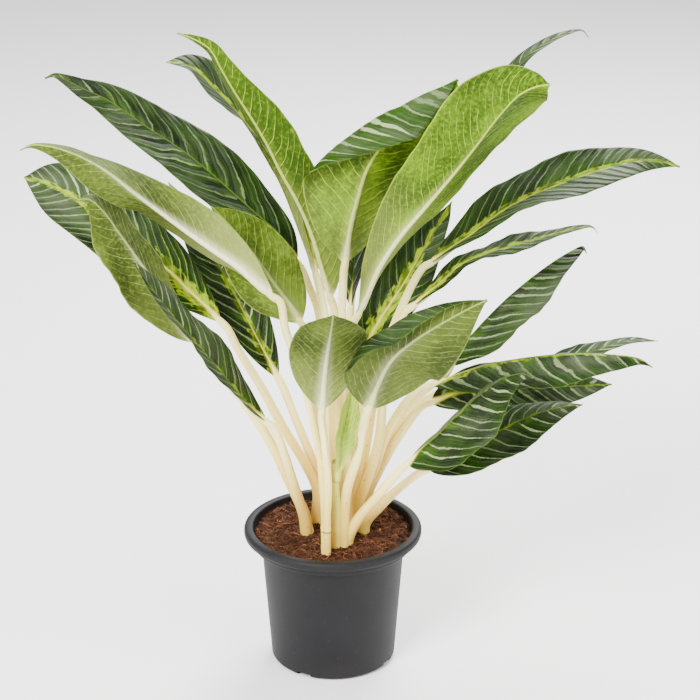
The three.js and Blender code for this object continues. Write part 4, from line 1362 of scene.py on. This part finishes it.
@dataclass
class Coir:
    """The coconut fibre that fills the pot, with loose strands and chips on top.

    Fields:
        top: the height of its surface.
        radius: its radius at the surface.
        low_radius: its radius at the pot's floor.
        floor: the height of its underside.
        strands: how many loose strands lie on it.
        chips: how many chips.
        pale_share: how many of the strands are pale and curly.
        rings, sides: how fine its mesh is.
        seed: starts the random numbers.
    """

    top: float = 129.0
    radius: float = 74.6
    low_radius: float = 52.0
    floor: float = 3.4
    strands: int = 3600
    chips: int = 1500
    pale_share: float = 0.07
    rings: int = 90
    sides: int = 240
    seed: int = 7

    SWELL, SWELL_X, SWELL_Y = 1.6, 17, 14  # the height and lengths of its broad bumps
    SMALL, SMALL_LENGTH = 0.5, 6  # and of the small ones over them
    LUMPS, LUMP_LENGTHS, LUMP_HEIGHT = 60, (4, 16), 0.035  # random lumps, as high as a share of their length
    LUMP_SHARE = 0.8  # how much of them shows
    ROUGH = 0.25  # how far single points stray
    MIDDLE = 0.004  # the share of the radius where the innermost points lie
    EDGE, EDGE_DROP = 0.9, 2.5  # the share of the radius where its edge starts, and how much lower it lies
    SKIRT = (121.0, (67.0, 118.0))  # the height below the edge, and the radius and height where it narrows
    TOE = (4, 9.0)  # how much wider it is just above the pot's floor, and at what height
    FLAT = 0.5  # the radius of the flat in the middle of its underside
    HOLLOW, HOLLOW_DEPTH = 1.0, 3.0  # how far down the painted shade of hollows starts, and over what depth it darkens fully
    SHADES, SIDE_SHADE = (0.2, 0.6), 0.3  # how pale its points are, on its surface and below
    MARGIN = 2  # how far inside its edge the middles of strands and chips stay
    STRAND_STEPS, STRAND_SIDES = 5, 3  # how fine the mesh of a strand is
    STRAND_LENGTH = (2.2, 0.5)  # mean and spread of the logarithm of its length
    STRAND_LENGTHS = (4, 26)  # the range that it is kept in
    STRAND_TILT, STRAND_LIFT, STRAND_TAPER = 0.06, 0.4, 0.6  # its slope, height and how much its ends thin
    STRAND_SHADE, STRAND_SHADES = (0.48, 0.22), (0.05, 0.9)  # how pale a brown one is: mean and spread, range
    PALE_SHADES = (0.8, 1.0)  # how pale a pale one is
    CHIP_SHAPE = (1.0, 0.7, 0.35)  # length, width and thickness of a chip
    CHIP_SIZE = (0.15, 0.45)  # mean and spread of the logarithm of its size
    CHIP_CORNERS = (0.6, 1.2)  # how uneven its corners are
    CHIP_LIFTS = (-0.4, 0.8)  # how high it lies
    CHIP_SHADE, CHIP_SHADES = (0.35, 0.2), (0.0, 0.9)  # how pale it is: mean and spread, and range

    def height(self, x: Array, y: Array) -> Array:
        """The surface's height at a place."""
        swell = self.SWELL * np.sin(x / self.SWELL_X + 1) * np.cos(y / self.SWELL_Y)
        return self.top + swell + self.SMALL * np.sin((x - y) / self.SMALL_LENGTH)

    def build(self, palette: Palette) -> list[Object]:
        """Makes the body of the coir and what lies loose on it.

        Args:
            palette: the finishes.

        Returns:
            Their objects.
        """
        draw = np.random.default_rng(self.seed)
        made = [self._body(palette, draw), self._loose(palette, draw)]
        for piece in made:
            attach(piece, "root")
            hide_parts("soil")
        return made

    def _body(self, palette: Palette, draw: np.random.Generator) -> Object:
        """The lumpy surface and the plain sides below it."""
        share = np.linspace(self.MIDDLE, 1, self.rings)[:, None]
        turn = np.linspace(0, 2 * np.pi, self.sides, endpoint=False)[None]
        x, y = self.radius * share * np.cos(turn), self.radius * share * np.sin(turn)
        lumps = np.zeros_like(x)
        for _ in range(self.LUMPS):
            angle, length = draw.uniform(0, np.pi), draw.uniform(*self.LUMP_LENGTHS)
            phase = draw.uniform(0, 2 * np.pi)
            along = (x * np.cos(angle) + y * np.sin(angle)) * 2 * np.pi / length
            lumps += self.LUMP_HEIGHT * length * np.sin(along + phase)
        z = self.height(x, y) + lumps * self.LUMP_SHARE + draw.normal(0, self.ROUGH, x.shape)
        z = z - self.EDGE_DROP * ease(self.EDGE, 1.0, share)
        top = np.stack([x, y, z], -1).reshape(-1, 3)
        toe, toe_height = self.TOE
        foot = [(self.low_radius + toe, toe_height), (self.low_radius, self.floor), (self.FLAT, self.floor)]
        below = [(self.radius, self.SKIRT[0]), self.SKIRT[1], *foot]
        flat = [[(r * math.cos(a), r * math.sin(a), h) for a in turn[0]] for r, h in below]
        flat = np.array(flat).reshape(-1, 3)
        points = np.vstack([top, flat]) * MM
        rows = self.rings + len(below)
        faces = grid_faces(rows, self.sides, wrap=True)
        # painted shade: the lower a point lies, the darker it is; the sides below are fully shaded
        hollow_shade = np.clip((self.top - self.HOLLOW - top[:, 2]) / self.HOLLOW_DEPTH, 0, 1)
        shades = np.concatenate([draw.uniform(*self.SHADES, len(top)), np.full(len(flat), self.SIDE_SHADE)])
        painted_shade = np.concatenate([hollow_shade, np.ones(len(flat))])
        faces = faces.tolist() + end_faces(rows, self.sides)
        maps = {SHARE: np.stack([shades, painted_shade], -1)}
        return make_object("coir_body", points, faces, [palette.coir], maps)

    def _loose(self, palette: Palette, draw: np.random.Generator) -> Object:
        """Strands and chips strewn over the surface, as one object."""
        points, faces, shades = [], [], []
        for _ in range(self.strands):
            self._strand(draw, points, faces, shades)
        for _ in range(self.chips):
            self._chip(draw, points, faces, shades)
        maps = {SHARE: np.stack([np.array(shades), np.zeros(len(shades))], -1)}
        return make_object("coir_fibres", np.array(points) * MM, faces, [palette.coir], maps)

    def _spot(self, draw: np.random.Generator) -> tuple[float, float]:
        """A random place on the surface."""
        away = (self.radius - self.MARGIN) * math.sqrt(draw.uniform())
        turn = draw.uniform(0, 2 * math.pi)
        return away * math.cos(turn), away * math.sin(turn)

    def _strand(self, draw: np.random.Generator, points: list, faces: list, shades: list) -> None:
        """Adds one bent strand.

        Args:
            draw: the random numbers.
            points, faces, shades: the lists that it is added to.
        """
        x, y = self._spot(draw)
        length = float(np.clip(draw.lognormal(*self.STRAND_LENGTH), *self.STRAND_LENGTHS))
        kind = PALE_STRAND if draw.uniform() < self.pale_share else BROWN_STRAND
        turn, bend = draw.uniform(0, 2 * math.pi), draw.normal(0, kind.curl)
        arch, tilt = draw.uniform(0, kind.arch) * length, draw.normal(0, self.STRAND_TILT)
        thick = draw.uniform(*kind.radii)
        if kind is PALE_STRAND:
            shade = draw.uniform(*self.PALE_SHADES)
        else:
            shade = float(np.clip(draw.normal(*self.STRAND_SHADE), *self.STRAND_SHADES))
        steps, sides, start = self.STRAND_STEPS, self.STRAND_SIDES, len(points)
        for k in range(steps + 1):
            t = k / steps
            angle = turn + bend * t
            px = x + length * (t - 0.5) * math.cos(angle)
            py = y + length * (t - 0.5) * math.sin(angle)
            away = math.hypot(px, py)
            if away > self.radius:
                px, py = px * self.radius / away, py * self.radius / away
            pz = float(self.height(np.float64(px), np.float64(py))) + self.STRAND_LIFT
            pz += arch * math.sin(math.pi * t)
            pz += tilt * length * (t - 0.5)
            fat = thick * (1 - self.STRAND_TAPER * abs(2 * t - 1) ** 2)
            for corner in range(sides):
                a = 2 * math.pi * corner / sides
                out, up = fat * math.cos(a), fat * math.sin(a)
                points.append((px - out * math.sin(angle), py + out * math.cos(angle), pz + up))
                shades.append(shade)
        faces += (grid_faces(steps + 1, sides, start, wrap=True)).tolist()
        faces += [[start + i for i in cap] for cap in end_faces(steps + 1, sides)]

    def _chip(self, draw: np.random.Generator, points: list, faces: list, shades: list) -> None:
        """Adds one small chip of husk.

        Args:
            draw: the random numbers.
            points, faces, shades: the lists that it is added to.
        """
        x, y = self._spot(draw)
        z = float(self.height(np.float64(x), np.float64(y))) + draw.uniform(*self.CHIP_LIFTS)
        size = draw.lognormal(*self.CHIP_SIZE) * np.array(self.CHIP_SHAPE)
        frame = np.linalg.qr(draw.normal(size=(3, 3)))[0]
        frame = frame if np.linalg.det(frame) > 0 else -frame
        start = len(points)
        shade = float(np.clip(draw.normal(*self.CHIP_SHADE), *self.CHIP_SHADES))
        for corner in BLOCK_CORNERS:
            offset = frame @ (corner * size * draw.uniform(*self.CHIP_CORNERS, 3))
            points.append((x + offset[0], y + offset[1], z + offset[2]))
            shades.append(shade)
        faces += [[start + i for i in face] for face in BLOCK_FACES]


@dataclass
class Pot:
    """The nursery pot: a tapered wall, a shoulder ring, a rolled rim and notches in its foot.

    Fields:
        height, rim_radius, mouth_radius: its height, and the radii of its rim outside and inside.
        lip, lip_round: how high the rolled rim is, and how round.
        step, step_radius: the height and radius of the shoulder ring.
        neck_radius, base_radius, base_corner: the wall's radii at its top and foot, and its foot's rounding.
        wall, floor: their thickness.
        notches, notch_turn, notch_size: how many notches, where the first is in degrees, and their size.
        sides: how fine its mesh is.
    """

    height: float = 137.0
    rim_radius: float = 85.0
    mouth_radius: float = 76.0
    lip: float = 8.5
    lip_round: float = 3.0
    step: float = 8.0
    step_radius: float = 77.5
    neck_radius: float = 68.5
    base_radius: float = 59.5
    base_corner: float = 5.0
    wall: float = 2.2
    floor: float = 3.0
    notches: int = 4
    notch_turn: float = -28.0
    notch_size: tuple[float, float, float] = (14.0, 14.0, 9.0)
    sides: int = 224

    PLAIN = (8, 4)  # how far the plain wall ends from its rounded foot and from the shoulder ring
    NECK_ROUND, NECK_DROP = 2.5, 2.0  # the rounding under the shoulder ring, and how far down its middle is
    STEP_ROUND, STEP_INSET = 2.2, 2.0  # that at the ring's outer edge, and how far in its middle is
    STEP_TOP = (0.3, 1.6)  # how much wider the ring is at its top, and how far that is below the lip
    LIP_TUCK, TUCK_OUT = 1.5, 2.0  # the rounding between ring and rolled rim, and how far out its middle is
    LIP_SINK = 0.4  # how far the rim's foot reaches down over that
    RIM_CROWN = 1.2  # how much rounder the rim's top is than its foot
    MOUTH_ROUND, MOUTH_LEAN = 2.2, 0.7  # the rounding at the mouth, and how far the mouth narrows below it
    INSIDE = (2, 20)  # how far below the ring's foot the inner wall starts, and where its even part does

    def wall_radius(self, z: float) -> float:
        """The wall's outer radius at a height."""
        taper = self.neck_radius - self.base_radius
        return self.base_radius + taper * z / (self.height - self.lip - self.step)

    def _profile(self) -> list[tuple[float, float]]:
        """The pot's outline from the middle of its base round to the middle of its floor."""
        top, foot = self.height - self.lip, self.height - self.lip - self.step

        def arc(x: float, z: float, radius: float, start: float, end: float, steps: int = 7) -> list:
            """Points on a rounded corner."""
            turns = [math.radians(start + (end - start) * k / (steps - 1)) for k in range(steps)]
            return [(x + radius * math.cos(a), z + radius * math.sin(a)) for a in turns]

        corner, r, crown = self.base_corner, self.lip_round, self.lip_round * self.RIM_CROWN
        neck, ring, tuck, mouth = self.NECK_ROUND, self.STEP_ROUND, self.LIP_TUCK, self.MOUTH_ROUND
        (low, high), (lean, step_top), (inner_top, even) = self.PLAIN, self.STEP_TOP, self.INSIDE
        # foot and wall
        outer = [(0.01, 0), (self.base_radius - 2 * corner, 0)]
        outer += arc(self.wall_radius(corner) - corner, corner, corner, -90, 0, 9)
        outer += [(self.wall_radius(z), z) for z in np.linspace(corner + low, foot - high, 9)]
        # shoulder ring
        outer += arc(self.neck_radius + neck, foot - self.NECK_DROP, neck, 180, 100, 6)
        outer += arc(self.step_radius - self.STEP_INSET, foot + ring, ring, -80, 0, 6)
        outer += [(self.step_radius + lean, top - step_top)]
        outer += arc(self.step_radius + self.TUCK_OUT, top - tuck, tuck, 180, 95, 4)
        # rolled rim
        outer += arc(self.rim_radius - r, top + r - self.LIP_SINK, r, -80, 0)
        outer += arc(self.rim_radius - crown, self.height - crown, crown, 0, 82, 9)
        # mouth, inner wall and floor
        inner = arc(self.mouth_radius + mouth, self.height - mouth, mouth, 98, 180, 7)
        inner += [(self.mouth_radius - self.MOUTH_LEAN, foot + self.wall)]
        inner += [(self.wall_radius(foot) - self.wall, foot - inner_top)]
        heights = np.linspace(foot - even, self.floor + corner, 6)
        inner += [(self.wall_radius(z) - self.wall, z) for z in heights]
        inner += [(self.base_radius - corner - self.wall, self.floor), (0.01, self.floor)]
        return outer + inner

    def build(self, palette: Palette) -> Object:
        """Makes the pot.

        Args:
            palette: the finishes.

        Returns:
            Its object.
        """
        profile = np.array(self._profile())
        turn = np.linspace(0, 2 * np.pi, self.sides, endpoint=False)
        x, y = profile[:, :1] * np.cos(turn)[None], profile[:, :1] * np.sin(turn)[None]
        z = np.repeat(profile[:, 1:], self.sides, axis=1)
        points = np.stack([x, y, z], -1).reshape(-1, 3)
        faces = grid_faces(len(profile), self.sides, wrap=True, flip=True)
        maps = {PLACE: np.stack([np.tile(turn, len(profile)) * self.base_radius, points[:, 2]], -1)}
        made = make_object("nursery_pot", points * MM, faces, [palette.plastic], maps)
        self._cut_notches(made)
        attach(made, "root")
        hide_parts("pot")
        return made

    def _cut_notches(self, body: Object) -> None:
        """Cuts the drainage notches out of the foot.

        Args:
            body: the pot's object.
        """
        cutters = []
        for k in range(self.notches):
            turn = math.radians(self.notch_turn + 360 / self.notches * k)
            cutters.append(self._notch(turn))
            cut = body.modifiers.new("notch", "BOOLEAN")
            cut.operation, cut.solver, cut.object = "DIFFERENCE", "EXACT", cutters[-1]
        bpy.context.view_layer.update()
        finished = body.evaluated_get(bpy.context.evaluated_depsgraph_get())
        shaped = bpy.data.meshes.new_from_object(finished)
        body.modifiers.clear()
        body.data = shaped
        for cutter in cutters:
            bpy.data.objects.remove(cutter)

    def _notch(self, turn: float) -> Object:
        """One cutter block at the foot.

        Args:
            turn: radians from the front.

        Returns:
            Its object.
        """
        corners = BLOCK_CORNERS * (np.array(self.notch_size) / 2)
        corners[:, 1] -= self.base_radius
        cos, sin = math.cos(turn), math.sin(turn)
        spin = np.array([[cos, -sin, 0], [sin, cos, 0], [0, 0, 1]])
        return make_object("notch_cutter", corners @ spin.T * MM, BLOCK_FACES, [], smooth=False)


# ---------------------------------------------------------------- studio


@dataclass
class Studio:
    """A pale floor, soft lights and the camera.

    Fields:
        place: the camera's place in millimetres.
        pitch: how far it looks down, in degrees.
        lens: its focal length on a 36 mm sensor.
        floor_size: the floor's width in metres.
        floor_drop: how far it lies below the pot's base, so that the two don't flicker.
        surround: how bright the white surround is.
    """

    place: Point = (16.45, -1905.3, 1063.9)
    pitch: float = 21.428
    lens: float = 113.46
    floor_size: float = 30.0
    floor_drop: float = 0.0004
    surround: float = 1.0

    LIGHTS = (  # name, place in metres, width and watts
        ("key", (-1.1, -1.8, 1.8), 1.0, 165.0),
        ("fill", (1.7, -1.2, 1.2), 1.6, 48.0),
        ("rim", (0.5, 1.5, 2.0), 1.2, 130.0),
    )
    AIM = 0.3  # the height that the lights face
    SENSOR, REACH = 36, 60  # the camera's sensor width, and how far it sees

    def build(self, palette: Palette) -> None:
        """Makes the floor, the lights and the camera."""
        size = self.floor_size / 2
        ends = ((-size, -size), (size, -size), (size, size), (-size, size))
        corners = [(x, y, -self.floor_drop) for x, y in ends]
        floor = make_object("floor", np.array(corners), [[0, 1, 2, 3]], [palette.floor], smooth=False)
        for name, place, width, watts in self.LIGHTS:
            self._light(name, place, width, watts)
        self._world()
        self._camera()

    def _light(self, name: str, place: Point, size: float, power: float) -> None:
        """One soft square light that faces the plant.

        Args:
            name: its name.
            place: where it stands, in metres.
            size: its width.
            power: its watts.
        """
        light = bpy.data.lights.new(name, "AREA")
        light.shape, light.size, light.energy = "SQUARE", size, power
        holder = bpy.data.objects.new(name, light)
        bpy.context.scene.collection.objects.link(holder)
        x, y, z = place
        holder.location = place
        holder.rotation_euler = (math.atan2(math.hypot(x, y), z - self.AIM), 0, math.atan2(x, -y))

    def _world(self) -> None:
        """An even white surround."""
        world = bpy.data.worlds.new("surround")
        world.use_nodes = True
        surface = world.node_tree.nodes["Background"]
        surface.inputs["Color"].default_value = (1, 1, 1, 1)
        surface.inputs["Strength"].default_value = self.surround
        bpy.context.scene.world = world

    def _camera(self) -> None:
        """The camera at the plant's front."""
        lens = bpy.data.cameras.new("camera")
        lens.lens, lens.sensor_width, lens.clip_end = self.lens, self.SENSOR, self.REACH
        camera = bpy.data.objects.new("camera", lens)
        camera.location = [axis * MM for axis in self.place]
        camera.rotation_euler = (math.radians(90 - self.pitch), 0, 0)
        bpy.context.scene.collection.objects.link(camera)
        bpy.context.scene.camera = camera


# ---------------------------------------------------------------- assembly


GRAIN_STEP = 1.37  # sets each leaf's markings apart from the last one's
SEED_STEP, FIRST_SEED = 3.1, 0.7  # the same for the streaks of the shoots


def main() -> None:
    """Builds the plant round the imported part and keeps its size."""
    logging.basicConfig(level=logging.INFO, format="%(name)s: %(message)s")
    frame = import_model()
    palette = Palette()
    Pot().build(palette)
    log.info("pot: done")
    for piece in Coir().build(palette):
        log.info("%s: %d faces", piece.name, len(piece.data.polygons))
    grain = 0.0
    for number, grown in enumerate(SHOOTS):
        shoot = grown()
        shoot.build(palette, SEED_STEP * number + FIRST_SEED)
        log.info("%s: %d stalks", shoot.name, len(shoot.leaves))
        for leaf in shoot.leaves:
            grain += GRAIN_STEP
            blade = replace(leaf, grain=grain).build(palette)
            low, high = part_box(leaf.name)
            points = np.array([vertex.co for vertex in blade.data.vertices])
            gap = max(np.abs(points.min(0) - low).max(), np.abs(points.max(0) - high).max())
            log.info("%s: its box is within %.1f mm of the packed blade's", leaf.name, gap / MM)
    Studio().build(palette)
    log.info("%d nodes dressed", len(frame["nodes"]))


if __name__ == "__main__":
    main()
